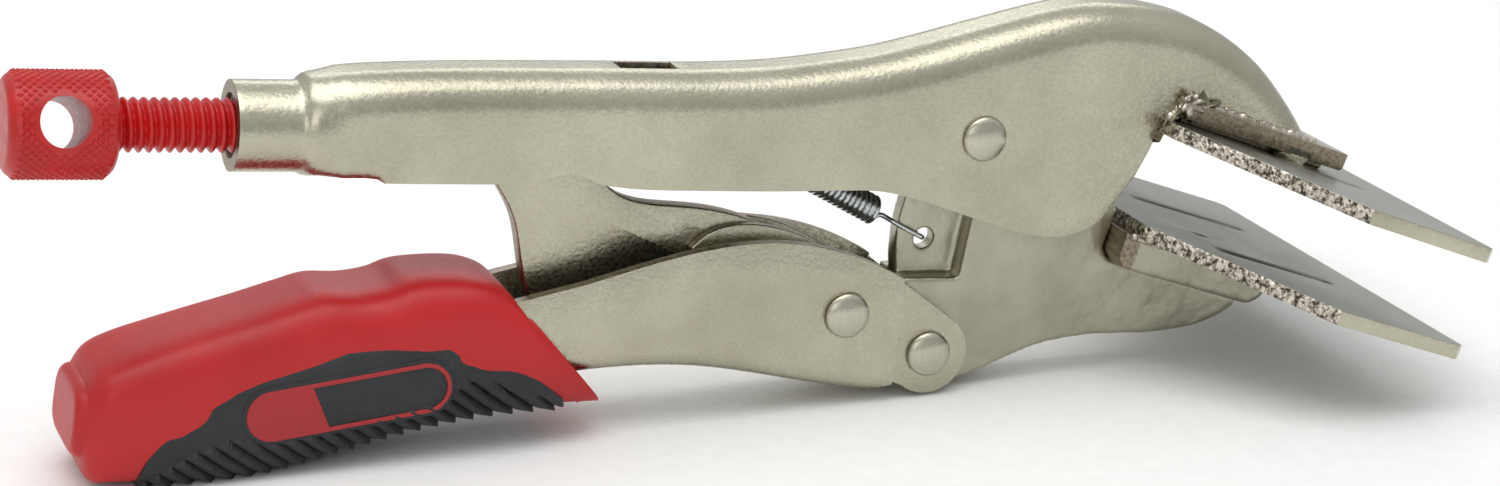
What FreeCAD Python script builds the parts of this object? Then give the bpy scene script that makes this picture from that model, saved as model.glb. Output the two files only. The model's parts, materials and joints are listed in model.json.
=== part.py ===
"""Locking pliers with wide sheet-metal blades, built as separate solids.

Working frame: X runs along the adjusting screw towards the blades, with X = 0
at the tube's rear end. Y = 0 is the plane of symmetry and Z = 0 the screw axis.
At the end every piece gets the same placement, which stands the closed tool on
the heel of its grip and on the lug of its lower handle.
"""
import FreeCAD, Part
import math
import os

import Sketcher
from FreeCAD import Vector as V

os.makedirs("parts", exist_ok=True)
doc = FreeCAD.newDocument("locking_pliers")

# ---------------------------------------------------------------- sizes, mm
SIZES = {
    # rolled sheet-steel upper handle
    "wall": 2.0, "upperWidth": 15.2, "tubeDia": 13.4, "tubeStraight": 9.5,
    "flareEnd": 15.0, "slotStart": 21.0, "crownRound": 5.5,
    # pivots: jaw on upper handle, handle on jaw, link on handle
    "jawPivotX": 116.2, "jawPivotZ": 0.5, "handlePivotX": 111.1, "handlePivotZ": -34.3,
    "linkPivotX": 96.2, "linkPivotZ": -27.5, "rivetDia": 6.0, "rivetHeadDia": 7.1,
    "rivetHeadHeight": 1.6, "rivetRim": 0.35, "runningFit": 0.05, "headGap": 0.1,
    # lower handle channel
    "handleWidth": 16.4, "lugWidth": 14.6, "lugRadius": 6.5, "creaseX": 105.3,
    # forged jaw
    "jawWidth": 10.0, "tabThickness": 3.0, "hookHoleX": 110.9, "hookHoleZ": -17.3,
    "hookHoleDia": 3.4,
    # toggle link
    "linkThickness": 3.4, "noseX": 40.0, "noseRadius": 4.0, "cheekThickness": 1.8,
    "spacerDia": 11.0,
    # blades
    "bladeWidth": 80.0, "bladeDepth": 45.0, "bladeThickness": 2.3, "bladeSide": 24.0,
    "bladeRearWidth": 25.0, "grooveX": 15.0, "grooveLength": 24.0, "grooveRadius": 2.2,
    "grooveDepth": 0.55,
    "upperBladeX": 189.9, "upperBladeZ": -8.42, "upperBladeSlope": 16.2,
    "lowerBladeX": 187.05, "lowerBladeZ": -23.98, "lowerBladeSlope": 15.2,
    "strapWidth": 19.0, "strapRise": 1.0, "strapThickness": 2.9, "strapFront": 11.4,
    "strapBack": 42.0, "padWidth": 13.0,
    "blockWidth": 21.0, "blockThickness": 5.6, "blockFront": 18.5, "blockBack": 46.3,
    "blockRound": 3.6,
    # adjusting screw
    "threadDia": 8.0, "threadPitch": 1.5, "threadDepth": 0.75, "screwEnd": 31.0,
    "knobDia": 15.2, "knobLength": 15.8, "knobHoleX": -24.7, "knobHoleDia": 7.4,
    "knobRound": 2.0, "tipDia": 6.4, "tipReach": 35.0, "bushLength": 13.0,
    # return spring
    "coilDia": 4.7, "wireDia": 0.8, "anchorX": 69.0, "anchorZ": 3.2, "frontWire": 2.6,
    # grip
    "gripWidth": 22.0, "heelRadius": 5.0, "insertDepth": 2.0, "plaqueLength": 32.0,
    "plaqueHeight": 8.6, "plaqueThickness": 0.6,
}

sheet = doc.addObject("Spreadsheet::Sheet", "sizes")
for row, (alias, value) in enumerate(SIZES.items(), start=1):
    sheet.set(f"A{row}", alias)
    sheet.set(f"B{row}", str(value))
    sheet.setAlias(f"B{row}", alias)
doc.recompute()


def size(alias):
    """The value of one cell of the sheet."""
    return float(sheet.get(alias))


# ---------------------------------------------------------------- helpers
def outline(start, *steps):
    """Closed list of sketch edges. A step is a point for a straight line,
    ("curve", points...) for a smooth curve or ("arc", middle, end)."""
    edges = []
    here = V(*start, 0)
    for step in steps:
        if step[0] == "curve":
            points = [here] + [V(*p, 0) for p in step[1:]]
            curve = Part.BSplineCurve()
            curve.interpolate(points)
            edges.append(curve)
            here = points[-1]
        elif step[0] == "arc":
            end = V(*step[2], 0)
            edges.append(Part.Arc(here, V(*step[1], 0), end))
            here = end
        else:
            end = V(*step, 0)
            edges.append(Part.LineSegment(here, end))
            here = end
    if here.distanceToPoint(V(*start, 0)) > 1e-6:
        edges.append(Part.LineSegment(here, V(*start, 0)))
    return edges


def new_body(name):
    body = doc.addObject("PartDesign::Body", name)
    body.Label = name
    return body


def sketch(body, plane, edges):
    """A sketch on one of the body's own origin planes."""
    made = body.newObject("Sketcher::SketchObject", f"{body.Name}_sketch")
    face = next(f for f in body.Origin.OriginFeatures if f.Role == plane)
    made.AttachmentSupport = [(face, "")]
    made.MapMode = "FlatFace"
    made.addGeometry(edges, False)
    return made


def circle_sketch(body, x_alias, z_alias, radius_formula):
    """A circle on the XZ plane, its centre and radius tied to the sheet."""
    made = sketch(body, "XZ_Plane", [Part.Circle(V(1, 1, 0), V(0, 0, 1), 1)])
    centre = (0, 3)
    made.addConstraint([
        Sketcher.Constraint("Radius", 0, 1.0),
        Sketcher.Constraint("DistanceX", -1, 1, centre[0], centre[1], 1.0),
        Sketcher.Constraint("DistanceY", -1, 1, centre[0], centre[1], 1.0),
    ])
    made.setExpression("Constraints[0]", radius_formula)
    made.setExpression("Constraints[1]", f"sizes.{x_alias}")
    made.setExpression("Constraints[2]", f"sizes.{z_alias}")
    return made


def pad(body, made, length):
    """Pad both ways about the sketch plane; length is a formula of the sheet."""
    feature = body.newObject("PartDesign::Pad", f"{body.Name}_pad")
    feature.Profile = made
    feature.SideType = "Symmetric"
    feature.setExpression("Length", length)
    return feature


def pocket(body, made, length):
    """Cut both ways about the sketch plane; length is a formula of the sheet."""
    feature = body.newObject("PartDesign::Pocket", f"{body.Name}_pocket")
    feature.Profile = made
    feature.SideType = "Symmetric"
    feature.setExpression("Length", length)
    return feature


def revolve(body, made):
    """Turn a profile drawn on the XZ plane about the screw axis."""
    feature = body.newObject("PartDesign::Revolution", f"{body.Name}_turned")
    feature.Profile = made
    feature.ReferenceAxis = (made, ["H_Axis"])
    feature.Angle = 360
    return feature


def fillet(body, feature, chosen, radius):
    """Round the edges for which chosen(edge) is true."""
    doc.recompute()
    names = [f"Edge{i}" for i, edge in enumerate(feature.Shape.Edges, start=1) if chosen(edge)]
    rounded = body.newObject("PartDesign::Fillet", f"{body.Name}_fillet")
    rounded.Base = (feature, names)
    rounded.setExpression("Radius", radius)
    return rounded


def pivot_hole(body, pivot, radius):
    """A hole right through along Y at one of the three pivots."""
    return pocket(body, circle_sketch(body, f"{pivot}X", f"{pivot}Z", radius), "60")


def primitive(kind, name, place=None, **formulas):
    """A Part primitive whose sizes are formulas of the sheet."""
    made = doc.addObject(f"Part::{kind}", name)
    for prop, formula in formulas.items():
        made.setExpression(prop, formula)
    if place is not None:
        made.Placement = place
    return made


def boolean(kind, name, base, tool):
    made = doc.addObject(f"Part::{kind}", name)
    made.Base = base
    made.Tool = tool
    made.Label = name
    return made


def joined(name, pieces):
    """Separate or touching solids kept together as one node."""
    made = doc.addObject("Part::Compound", name)
    made.Links = pieces
    made.Label = name
    return made


def on_side(edge):
    """True for an edge that lies wholly on a side face, parallel to XZ."""
    return edge.BoundBox.YLength < 1e-6


def place(x, y, z, axis=V(0, 0, 1), angle=0.0):
    return FreeCAD.Placement(V(x, y, z), FreeCAD.Rotation(axis, angle))


ALONG_Y = FreeCAD.Rotation(V(1, 0, 0), -90)      # turns a primitive's Z axis to +Y
ALONG_X = FreeCAD.Rotation(V(0, 1, 0), 90)       # turns it to +X
WALL = size("wall")
RUNNING = "sizes.rivetDia / 2 + sizes.runningFit"
JAW_PIVOT = (size("jawPivotX"), size("jawPivotZ"))
HANDLE_PIVOT = (size("handlePivotX"), size("handlePivotZ"))
LINK_PIVOT = (size("linkPivotX"), size("linkPivotZ"))


def blade_place(which):
    """Frame of a blade: origin at the middle of its top front edge, local X
    towards the front, Z square to the blade."""
    slope = size(f"{which}BladeSlope")
    return place(size(f"{which}BladeX"), 0, size(f"{which}BladeZ"), V(0, 1, 0), slope)


def on_blade(which, back, height):
    """X and Z of a point a distance back from a blade's front edge."""
    point = blade_place(which).multVec(V(-back, 0, height))
    return (point.x, point.z)


# ---------------------------------------------------------------- upper handle
STRAP_TOP = size("strapRise") + size("strapThickness")
NOSE_TIP = on_blade("upper", 16.2, STRAP_TOP)
CROWN = [(24.7, 9.1), (58.5, 9.6), (77.7, 9.8), (97.2, 12.1), (113.5, 16.1), (130.1, 20.4),
         (138.7, 21.0), (151.4, 19.3), (163.1, 13.4), (171.4, 5.0)]


def inset(points, distance):
    """Points moved square to the curve through them, to its right."""
    curve = Part.BSplineCurve()
    curve.interpolate([V(*p, 0) for p in points])
    moved = []
    for point in points:
        along = curve.tangent(curve.parameter(V(*point, 0)))[0]
        moved.append((point[0] + along.y * distance, point[1] - along.x * distance))
    return moved


def upper_handle():
    """Rolled channel, a closed tube behind, with a slot for the link below."""
    rear_top = (size("flareEnd") - 2, 8.2)
    depth = size("bladeDepth")
    shell = new_body("upper_shell")
    lower_edge = [
        (size("slotStart") - 1, -5.6), (size("slotStart") + 1, -6.7), (42.0, -6.7),
        ("curve", (50.0, -5.2), (55.0, -6.9)), (62.0, -7.6), (83.0, -7.9), (99.5, -7.7),
        ("curve", (111.6, -10.8), (122.3, -14.1), (129.5, -15.4), (137.0, -13.6), (143.7, -4.6)),
        on_blade("upper", depth, -size("bladeThickness") - 0.9), on_blade("upper", depth, 0),
        on_blade("upper", size("strapBack"), 0), on_blade("upper", size("strapBack"), STRAP_TOP),
    ]
    profile = outline(NOSE_TIP, ("curve", *reversed(CROWN), rear_top), (rear_top[0], -6.4),
                      *lower_edge)
    solid = pad(shell, sketch(shell, "XZ_Plane", profile), "sizes.upperWidth")

    def crown_edge(edge):
        return on_side(edge) and edge.BoundBox.ZMin > -1 and edge.BoundBox.XLength > 100

    fillet(shell, solid, crown_edge, "sizes.crownRound")
    core = new_body("upper_core")
    inner = inset(CROWN, WALL)
    inner_start = (size("slotStart"), inner[0][1] - 0.1)
    hollow = outline((NOSE_TIP[0] - 3.5, -40), (NOSE_TIP[0] - 3.5, inner[-1][1]),
                     ("curve", *reversed(inner[:-1]), inner_start), (inner_start[0], -40))
    inside = pad(core, sketch(core, "XZ_Plane", hollow), "sizes.upperWidth - 2 * sizes.wall")
    fillet(core, inside, crown_edge, "sizes.crownRound - sizes.wall")
    channel = boolean("Cut", "upper_channel", shell, core)
    tube = new_body("upper_tube")
    radius = size("tubeDia") / 2
    flare = outline((0, 0), (0, radius), (size("tubeStraight"), radius),
                    (size("flareEnd"), size("upperWidth") / 2), (size("flareEnd") + 1.5, 0))
    revolve(tube, sketch(tube, "XZ_Plane", flare))
    # a lug is lanced out of the crown and bent down to hold the spring
    lug = new_body("upper_lug")
    lug_profile = outline((67.2, 8.8), (69.4, 8.8), (69.4, 7.4), (68.0, 3.2), (66.4, 3.2),
                          (67.2, 6.0))
    pad(lug, sketch(lug, "XZ_Plane", lug_profile), "3.4")
    closed = doc.addObject("Part::MultiFuse", "upper_closed")
    closed.Shapes = [channel, tube, lug]
    bore = primitive("Cylinder", "upper_bore", FreeCAD.Placement(V(-1, 0, 0), ALONG_X),
                     Radius="sizes.tubeDia / 2 - 1.4", Height="sizes.slotStart + 2")
    window = primitive("Box", "upper_window", place(58.0, -1.9, 5), Length="9.2", Width="3.8",
                       Height="8")
    holes = primitive("Cylinder", "upper_holes",
                      FreeCAD.Placement(V(JAW_PIVOT[0], -20, JAW_PIVOT[1]), ALONG_Y),
                      Radius=RUNNING, Height="40")
    openings = joined("upper_openings", [bore, window, holes])
    return boolean("Cut", "upper_handle", closed, openings)


def threaded_bush():
    """Nut pressed into the tube's end; the screw runs in it."""
    bush = new_body("threaded_bush")
    outer = size("tubeDia") / 2 - 1.4
    inner = size("threadDia") / 2 + size("runningFit")
    start = 0.8
    profile = outline((start, inner + 0.6), (start + 0.6, inner), (size("bushLength"), inner),
                      (size("bushLength"), outer), (start + 0.5, outer), (start, outer - 0.5))
    revolve(bush, sketch(bush, "XZ_Plane", profile))
    return bush


# ---------------------------------------------------------------- blades
def blade(name, which):
    """Tapered plate, widest in front, with two long pressed grooves on top."""
    plate = new_body(name)
    half = size("bladeWidth") / 2
    side = size("bladeSide")
    depth = size("bladeDepth")
    rear = size("bladeRearWidth") / 2
    corner = 1.2
    plan = outline((0, -half + corner), (0, half - corner), (-corner, half), (-side, half),
                   (-depth, rear), (-depth, -rear), (-side, -half), (-corner, -half))
    made = sketch(plate, "XY_Plane", plan)
    solid = plate.newObject("PartDesign::Pad", f"{name}_pad")
    solid.Profile = made
    solid.Reversed = True
    solid.setExpression("Length", "sizes.bladeThickness")
    plate.Placement = blade_place(which)
    grooves = []
    for side_sign in (-1, 1):
        start = V(-34.0, side_sign * size("grooveX"), size("grooveRadius") - size("grooveDepth"))
        grooves.append(primitive("Cylinder", f"{name}_groove_{side_sign + 1}",
                                 FreeCAD.Placement(start, ALONG_X),
                                 Radius="sizes.grooveRadius", Height="sizes.grooveLength"))
    tool = doc.addObject("Part::MultiFuse", f"{name}_grooves")
    tool.Shapes = grooves
    tool.Placement = blade_place(which)
    plate.Label = f"{name}_plate"
    made_blade = boolean("Cut", f"{name}_cut", plate, tool)
    made_blade.Label = name
    return made_blade


def blade_bar(name, which, width, front, back, low, high, front_round=0.5):
    """A bar lying along a blade, given in that blade's frame."""
    bar = new_body(name)
    profile = outline((-front, low + front_round), (-front, high), (-back, high), (-back, low),
                      (-front - front_round, low))
    pad(bar, sketch(bar, "XZ_Plane", profile), f"sizes.{width}")
    bar.Placement = blade_place(which)
    return bar


def upper_blade_strap():
    """Strap welded on top of the blade, on a narrower pad of weld."""
    rise = size("strapRise")
    strap = blade_bar("strap_plate", "upper", "strapWidth", size("strapFront"), size("strapBack"),
                      rise, STRAP_TOP)
    seam = blade_bar("strap_pad", "upper", "padWidth", size("strapFront") + 2,
                     size("strapBack") - 1, 0, rise, 0.3)
    whole = doc.addObject("Part::MultiFuse", "upper_blade_strap")
    whole.Label = "upper_blade_strap"
    whole.Shapes = [strap, seam]
    return whole


def weld_bead(name, which, front, back, y_root, height, radius):
    """Fillet weld of triangular section along a blade, both sides."""
    beads = []
    for side_sign in (-1, 1):
        wall = V(0, side_sign * y_root, height)
        toe = V(0, side_sign * (y_root + radius), height)
        up = V(0, side_sign * y_root, height + radius)
        face = Part.Face(Part.makePolygon([wall, toe, up, wall]))
        face.translate(V(-back, 0, 0))
        bead = doc.addObject("Part::Feature", f"{name}_{side_sign + 1}")
        bead.Shape = face.extrude(V(back - front, 0, 0))
        bead.Placement = blade_place(which)
        beads.append(bead)
    return joined(name, beads)


def lower_blade_support():
    """Block under the lower blade, welded between it and the jaw."""
    top = -size("bladeThickness")
    support = new_body("lower_blade_support")
    low = top - size("blockThickness")
    front = -size("blockFront")
    back = -size("blockBack")
    rounding = size("blockRound")
    middle = rounding * (1 - math.sqrt(0.5))
    profile = outline((front, top), (front, low + rounding),
                      ("arc", (front - middle, low + middle), (front - rounding, low)),
                      (back + 1.5, low), (back, low + 1.5), (back, top))
    pad(support, sketch(support, "XZ_Plane", profile), "sizes.blockWidth")
    support.Placement = blade_place("lower")
    return support


# ---------------------------------------------------------------- lower jaw
def lower_jaw():
    """Forging that turns on the jaw rivet and carries the lower blade."""
    below = -size("bladeThickness") - size("blockThickness")
    arm_end = on_blade("lower", size("blockFront") + size("blockRound") * 0.3, below)
    block_low = on_blade("lower", size("blockBack") - 1.5, below)
    block_mid = on_blade("lower", size("blockBack"), below + 1.5)
    block_top = on_blade("lower", size("blockBack"), -size("bladeThickness"))
    blade_rear = on_blade("lower", size("blockBack"), 0)
    lug = size("lugRadius") - 0.3
    centre = V(*HANDLE_PIVOT, 0)

    def on_lug(angle):
        return (centre.x + lug * math.cos(math.radians(angle)),
                centre.y + lug * math.sin(math.radians(angle)))

    jaw = new_body("lower_jaw")
    profile = outline(
        arm_end, block_low, block_mid, block_top, blade_rear,
        ("curve", (138.5, -5.5), (131.0, 5.0), (121.5, 11.0), (112.0, 10.2), (106.0, 3.5),
         (105.2, -5.0)),
        (107.0, -10.5), ("curve", (106.1, -16.3), (106.6, -22.8)), on_lug(165),
        ("arc", on_lug(230), on_lug(295)),
        ("curve", (121.0, -38.3), (128.7, -34.9), (139.0, -32.7), (150.0, -32.4),
         (160.4, -30.8), (arm_end[0] - 0.6, arm_end[1] - 1.6)))
    solid = pad(jaw, sketch(jaw, "XZ_Plane", profile), "sizes.jawWidth")
    pivot_hole(jaw, "jawPivot", RUNNING)
    pivot_hole(jaw, "handlePivot", RUNNING)
    circle = circle_sketch(jaw, "hookHoleX", "hookHoleZ", "sizes.hookHoleDia / 2")
    pocket(jaw, circle, "60")
    doc.recompute()
    assert solid.Shape.Volume > jaw.Shape.Volume
    # both faces are cut back at the rear, which leaves the thin spring tab
    recess = new_body("jaw_recess")
    area = outline((100, -9.0), (117.6, -9.0), (116.0, -22.7), (100, -22.7))
    pad(recess, sketch(recess, "XZ_Plane", area), "sizes.jawWidth + 2")
    tab = primitive("Box", "jaw_tab", FreeCAD.Placement(V(99, 0, -30), FreeCAD.Rotation()),
                    Length="30", Width="sizes.tabThickness", Height="30")
    tab.setExpression("Placement.Base.y", "-sizes.tabThickness / 2")
    sides = boolean("Cut", "jaw_recess_sides", recess, tab)
    jaw.Label = "jaw_forging"
    made = boolean("Cut", "lower_jaw_cut", jaw, sides)
    made.Label = "lower_jaw"
    return made


# ---------------------------------------------------------------- rivets
def rivet(name, pivot, outer_width, head_gap):
    """Round shank with a low domed head at each end."""
    x_pos, z_pos = size(f"{pivot}X"), size(f"{pivot}Z")
    half = outer_width / 2 + head_gap
    crown = size("rivetHeadHeight") - size("rivetRim")
    bulge = ((size("rivetHeadDia") / 2) ** 2 + crown ** 2) / (2 * crown)
    crown_rule = "(sizes.rivetHeadHeight - sizes.rivetRim)"
    bulge_rule = f"((sizes.rivetHeadDia / 2) ^ 2 + {crown_rule} ^ 2) / (2 * {crown_rule})"
    pieces = [primitive("Cylinder", f"{name}_shank",
                        FreeCAD.Placement(V(x_pos, -half, z_pos), ALONG_Y),
                        Radius="sizes.rivetDia / 2", Height=f"{2 * half}")]
    for side_sign in (-1, 1):
        turn = FreeCAD.Rotation(V(1, 0, 0), -90 * side_sign)
        pieces.append(primitive("Cylinder", f"{name}_rim_{side_sign + 1}",
                                FreeCAD.Placement(V(x_pos, side_sign * half, z_pos), turn),
                                Radius="sizes.rivetHeadDia / 2", Height="sizes.rivetRim"))
        centre = half + size("rivetHeadHeight") - bulge
        pieces.append(primitive("Sphere", f"{name}_dome_{side_sign + 1}",
                                FreeCAD.Placement(V(x_pos, side_sign * centre, z_pos), turn),
                                Radius=bulge_rule,
                                Angle1=f"asin(1 - {crown_rule} / ({bulge_rule}))"))
    made = doc.addObject("Part::MultiFuse", name)
    made.Label = name
    made.Shapes = pieces
    return made


# ---------------------------------------------------------------- lower handle
HANDLE_TOP = [(53.7, -22.1), (64.0, -19.0), (72.8, -16.9), (83.9, -15.9), (92.9, -17.1),
              (105.3, -21.9)]
HANDLE_BOTTOM = [(45.0, -37.6), (58.0, -36.1), (72.0, -36.0), (88.0, -38.4), (102.0, -40.4)]
HANDLE_REAR = -12.0


def handle_block(name):
    """The lower handle's outer shape as a full block."""
    block = new_body(name)
    outer = outline((HANDLE_REAR, -47.5), (HANDLE_REAR, -38.6), HANDLE_TOP[0],
                    ("curve", *HANDLE_TOP[1:]), (size("creaseX"), -39.2), HANDLE_BOTTOM[-1],
                    ("curve", *reversed(HANDLE_BOTTOM[:-1])))
    solid = pad(block, sketch(block, "XZ_Plane", outer), "sizes.handleWidth")

    def bottom_edge(edge):
        box = edge.BoundBox
        return on_side(edge) and box.ZMax < -35 and box.XLength > 40

    fillet(block, solid, bottom_edge, "3")
    return block


def lower_handle():
    """Pressed channel, open on top, with a narrower lug at the jaw rivet."""
    channel = handle_block("handle_channel")
    crease = size("creaseX")
    inner = outline((HANDLE_REAR - 5, -45.5), (HANDLE_REAR - 5, -10), (crease + 10, -10),
                    (crease + 10, -38.2), (HANDLE_BOTTOM[-1][0], HANDLE_BOTTOM[-1][1] + WALL),
                    ("curve", *[(x, z + WALL) for x, z in reversed(HANDLE_BOTTOM[:-1])]))
    pocket(channel, sketch(channel, "XZ_Plane", inner), "sizes.handleWidth - 2 * sizes.wall")
    pivot_hole(channel, "linkPivot", "sizes.rivetDia / 2")
    lugs = new_body("handle_lugs")
    radius = size("lugRadius")
    centre = V(*HANDLE_PIVOT, 0)

    def on_lug(angle):
        return (centre.x + radius * math.cos(math.radians(angle)),
                centre.y + radius * math.sin(math.radians(angle)))

    cheek = outline((crease - 0.7, -22.0), on_lug(48), ("arc", on_lug(-40), on_lug(-128)),
                    (crease - 0.7, -38.6))
    pad(lugs, sketch(lugs, "XZ_Plane", cheek), "sizes.lugWidth")
    between = outline((crease - 10, -10), (crease + 25, -10), (crease + 25, -50),
                      (crease - 10, -50))
    pocket(lugs, sketch(lugs, "XZ_Plane", between), "sizes.lugWidth - 2 * sizes.wall")
    pivot_hole(lugs, "handlePivot", RUNNING)
    whole = doc.addObject("Part::MultiFuse", "lower_handle")
    whole.Label = "lower_handle"
    whole.Shapes = [channel, lugs]
    return whole


# ---------------------------------------------------------------- toggle link
def toggle_link():
    """Flat plate from the link rivet to the tip of the adjusting screw."""
    link = new_body("toggle_link")
    nose = size("noseX")
    radius = size("noseRadius")
    end = 6.2
    x_end, z_end = LINK_PIVOT
    profile = outline(
        (nose, radius), (56.0, -6.5), ("curve", (60.4, -10.4), (69.5, -11.9), (80.4, -13.8),
                                       (92.0, -19.5), (x_end + end * 0.77, z_end + end * 0.64)),
        ("arc", (x_end + end, z_end), (x_end + end * 0.5, z_end - end * 0.866)),
        (80.0, -32.0), (48.5, -28.6), ("curve", (45.3, -21.3), (43.3, -13.4), (38.8, -6.2),
                                       (nose - radius, 0)),
        ("arc", (nose - radius * 0.707, radius * 0.707), (nose, radius)))
    pad(link, sketch(link, "XZ_Plane", profile), "sizes.linkThickness")
    pivot_hole(link, "linkPivot", RUNNING)
    return link


def link_cheeks():
    """Two lens-shaped plates riveted against the link, with spacer rings."""
    half = size("linkThickness") / 2
    thick = size("cheekThickness")
    x_end, z_end = LINK_PIVOT
    end = 6.0
    pieces = []
    for side_sign in (-1, 1):
        cheek = new_body(f"cheek_{side_sign + 1}")
        profile = outline((71.5, -18.0), ("curve", (75.2, -15.2), (83.8, -14.6), (92.5, -17.6),
                                          (x_end + end * 0.77, z_end + end * 0.64)),
                          ("arc", (x_end + end, z_end), (x_end + end * 0.5, z_end - end * 0.866)),
                          ("curve", (84.0, -29.5), (74.0, -23.5), (71.5, -18.0)))
        pad(cheek, sketch(cheek, "XZ_Plane", profile), "sizes.cheekThickness")
        pivot_hole(cheek, "linkPivot", RUNNING)
        cheek.Placement = place(0, side_sign * (half + thick / 2), 0)
        pieces.append(cheek)
    return joined("link_cheeks", pieces)


def link_spacers():
    """Rings that fill the room between the cheeks and the handle's walls."""
    inner_face = size("linkThickness") / 2 + size("cheekThickness")
    pieces = []
    for side_sign in (-1, 1):
        ring = new_body(f"spacer_{side_sign + 1}")
        outer = circle_sketch(ring, "linkPivotX", "linkPivotZ", "sizes.spacerDia / 2")
        thick = size("handleWidth") / 2 - WALL - inner_face - 0.1
        pad(ring, outer, f"{thick}")
        pivot_hole(ring, "linkPivot", RUNNING)
        ring.Placement = place(0, side_sign * (inner_face + thick / 2), 0)
        pieces.append(ring)
    return joined("link_spacers", pieces)


# ---------------------------------------------------------------- screw
def adjusting_screw():
    """Threaded rod of rounded rings, pressed into the knob behind."""
    screw = new_body("adjusting_screw")
    crest = size("threadDia") / 2
    root = crest - size("threadDepth")
    pitch = size("threadPitch")
    start = size("knobHoleX") + size("knobLength") / 2
    rings = int((size("screwEnd") - start) / pitch)
    steps = [(start, root)]
    for ring in range(rings):
        left = start + ring * pitch
        steps.append((left + 0.2 * pitch, root))
        steps.append(("arc", (left + 0.6 * pitch, crest), (left + pitch, root)))
    tip = start + rings * pitch
    profile = outline((start, 0), *steps, (tip + 0.6, root - 0.6), (tip + 0.6, 0))
    revolve(screw, sketch(screw, "XZ_Plane", profile))
    return screw


def adjusting_knob():
    """Round knob with a cross hole for a bar; its knurl is a surface finish."""
    knob = new_body("adjusting_knob")
    radius = size("knobDia") / 2
    half = size("knobLength") / 2
    centre = size("knobHoleX")
    edge_round = size("knobRound")
    cut = edge_round * (1 - math.sqrt(0.5))
    left, right = centre - half, centre + half
    profile = outline((left, 0), (left, radius - edge_round),
                      ("arc", (left + cut, radius - cut), (left + edge_round, radius)),
                      (right - edge_round, radius),
                      ("arc", (right - cut, radius - cut), (right, radius - edge_round)),
                      (right, 0))
    revolve(knob, sketch(knob, "XZ_Plane", profile))
    turned = FreeCAD.Rotation(V(1, 0, 0), -90 + KNOB_TURN)
    hole = primitive("Cylinder", "knob_hole",
                     FreeCAD.Placement(V(centre, 0, 0) + turned.multVec(V(0, 0, -12)), turned),
                     Radius="sizes.knobHoleDia / 2", Height="24")
    knob.Label = "knob_blank"
    made = boolean("Cut", "adjusting_knob_cut", knob, hole)
    made.Label = "adjusting_knob"
    return made


def screw_tip():
    """Plain thrust tip that bears on the link and need not turn with the screw."""
    tip = new_body("screw_tip")
    radius = size("tipDia") / 2
    reach = size("tipReach") - size("runningFit")
    start = size("screwEnd") + 0.4
    profile = outline((start, 0), (start, radius - 0.5), (start + 0.5, radius),
                      (reach - 1.2, radius), ("arc", (reach - 0.4, radius * 0.75), (reach, radius * 0.3)),
                      (reach, 0))
    revolve(tip, sketch(tip, "XZ_Plane", profile))
    return tip


# ---------------------------------------------------------------- spring
def return_spring():
    """Close-wound tension spring from the lanced lug to the jaw's hook hole: a
    tube of its outer shape, a straight wire and a hook beside the jaw's tab."""
    start = V(size("anchorX"), 0, size("anchorZ"))
    hole = V(size("hookHoleX"), 0, size("hookHoleZ"))
    along = (hole - start).normalize()
    turn = FreeCAD.Rotation(V(0, 0, 1), along)
    rear_wire, hook_length = 3.0, 7.0
    length = (hole - start).Length - hook_length
    coil_length = length - rear_wire - size("frontWire")
    wire_radius = size("wireDia") / 2
    aside = V(0, -size("tabThickness") / 2 - wire_radius - 0.2, 0)
    bend = start + along * length
    pieces = [
        primitive("Cylinder", "spring_wire", FreeCAD.Placement(start, turn),
                  Radius="sizes.wireDia / 2", Height=f"{length}"),
        primitive("Cylinder", "spring_coil",
                  FreeCAD.Placement(start + along * rear_wire, turn),
                  Radius="sizes.coilDia / 2", Height=f"{coil_length}"),
        primitive("Cylinder", "spring_step",
                  FreeCAD.Placement(bend + aside, ALONG_Y),
                  Radius="sizes.wireDia / 2", Height=f"{-aside.y}"),
        primitive("Cylinder", "spring_hook", FreeCAD.Placement(bend + aside, turn),
                  Radius="sizes.wireDia / 2", Height=f"{hook_length - 0.8}"),
        primitive("Cylinder", "spring_end",
                  FreeCAD.Placement(hole - along * 0.8 + aside, ALONG_Y),
                  Radius="sizes.wireDia / 2", Height=f"{-2 * aside.y}"),
    ]
    whole = doc.addObject("Part::MultiFuse", "return_spring")
    whole.Label = "return_spring"
    whole.Shapes = pieces
    return whole


# ---------------------------------------------------------------- grip
GRIP_TOP = [(-17.0, -34.2), (-11.3, -31.5), (6.1, -26.0), (13.5, -23.5), (21.0, -23.4),
            (27.5, -21.3), (38.5, -21.3), (42.5, -23.2), (45.5, -28.0)]
GRIP_BOTTOM = [(51.0, -41.0), (40.0, -41.7), (26.4, -44.5), (8.6, -49.3), (-3.0, -51.2)]
INSERT_TOP = [(-13.8, -51.6), (-8.7, -42.4), (-2.0, -36.8), (12.3, -31.8), (20.4, -30.2),
              (32.1, -29.1), (40.3, -32.0), (51.5, -40.0)]


def grip_outer(name):
    """The grip's whole outer shape, before it is shared out."""
    outer = new_body(name)
    heel = (-20.4, -40.5)
    low = size("heelRadius")
    heel_centre = (-14.5, -46.6)
    profile = outline(
        heel, ("curve", *GRIP_TOP), (55.6, -38.0), (57.6, -41.2), GRIP_BOTTOM[0],
        ("curve", *GRIP_BOTTOM[1:]), (heel_centre[0], heel_centre[1] - low),
        ("arc", (heel_centre[0] - low * 0.83, heel_centre[1] - low * 0.557),
         (heel_centre[0] - low, heel_centre[1] + 0.6)))
    pad(outer, sketch(outer, "XZ_Plane", profile), "sizes.gripWidth")
    return outer


def insert_zone(name, width):
    """Everything below the curve where the soft insert begins."""
    zone = new_body(name)
    area = outline(INSERT_TOP[0], ("curve", *INSERT_TOP[1:]), (51.5, -60.0), (-13.8, -60.0))
    pad(zone, sketch(zone, "XZ_Plane", area), width)
    return zone


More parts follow.
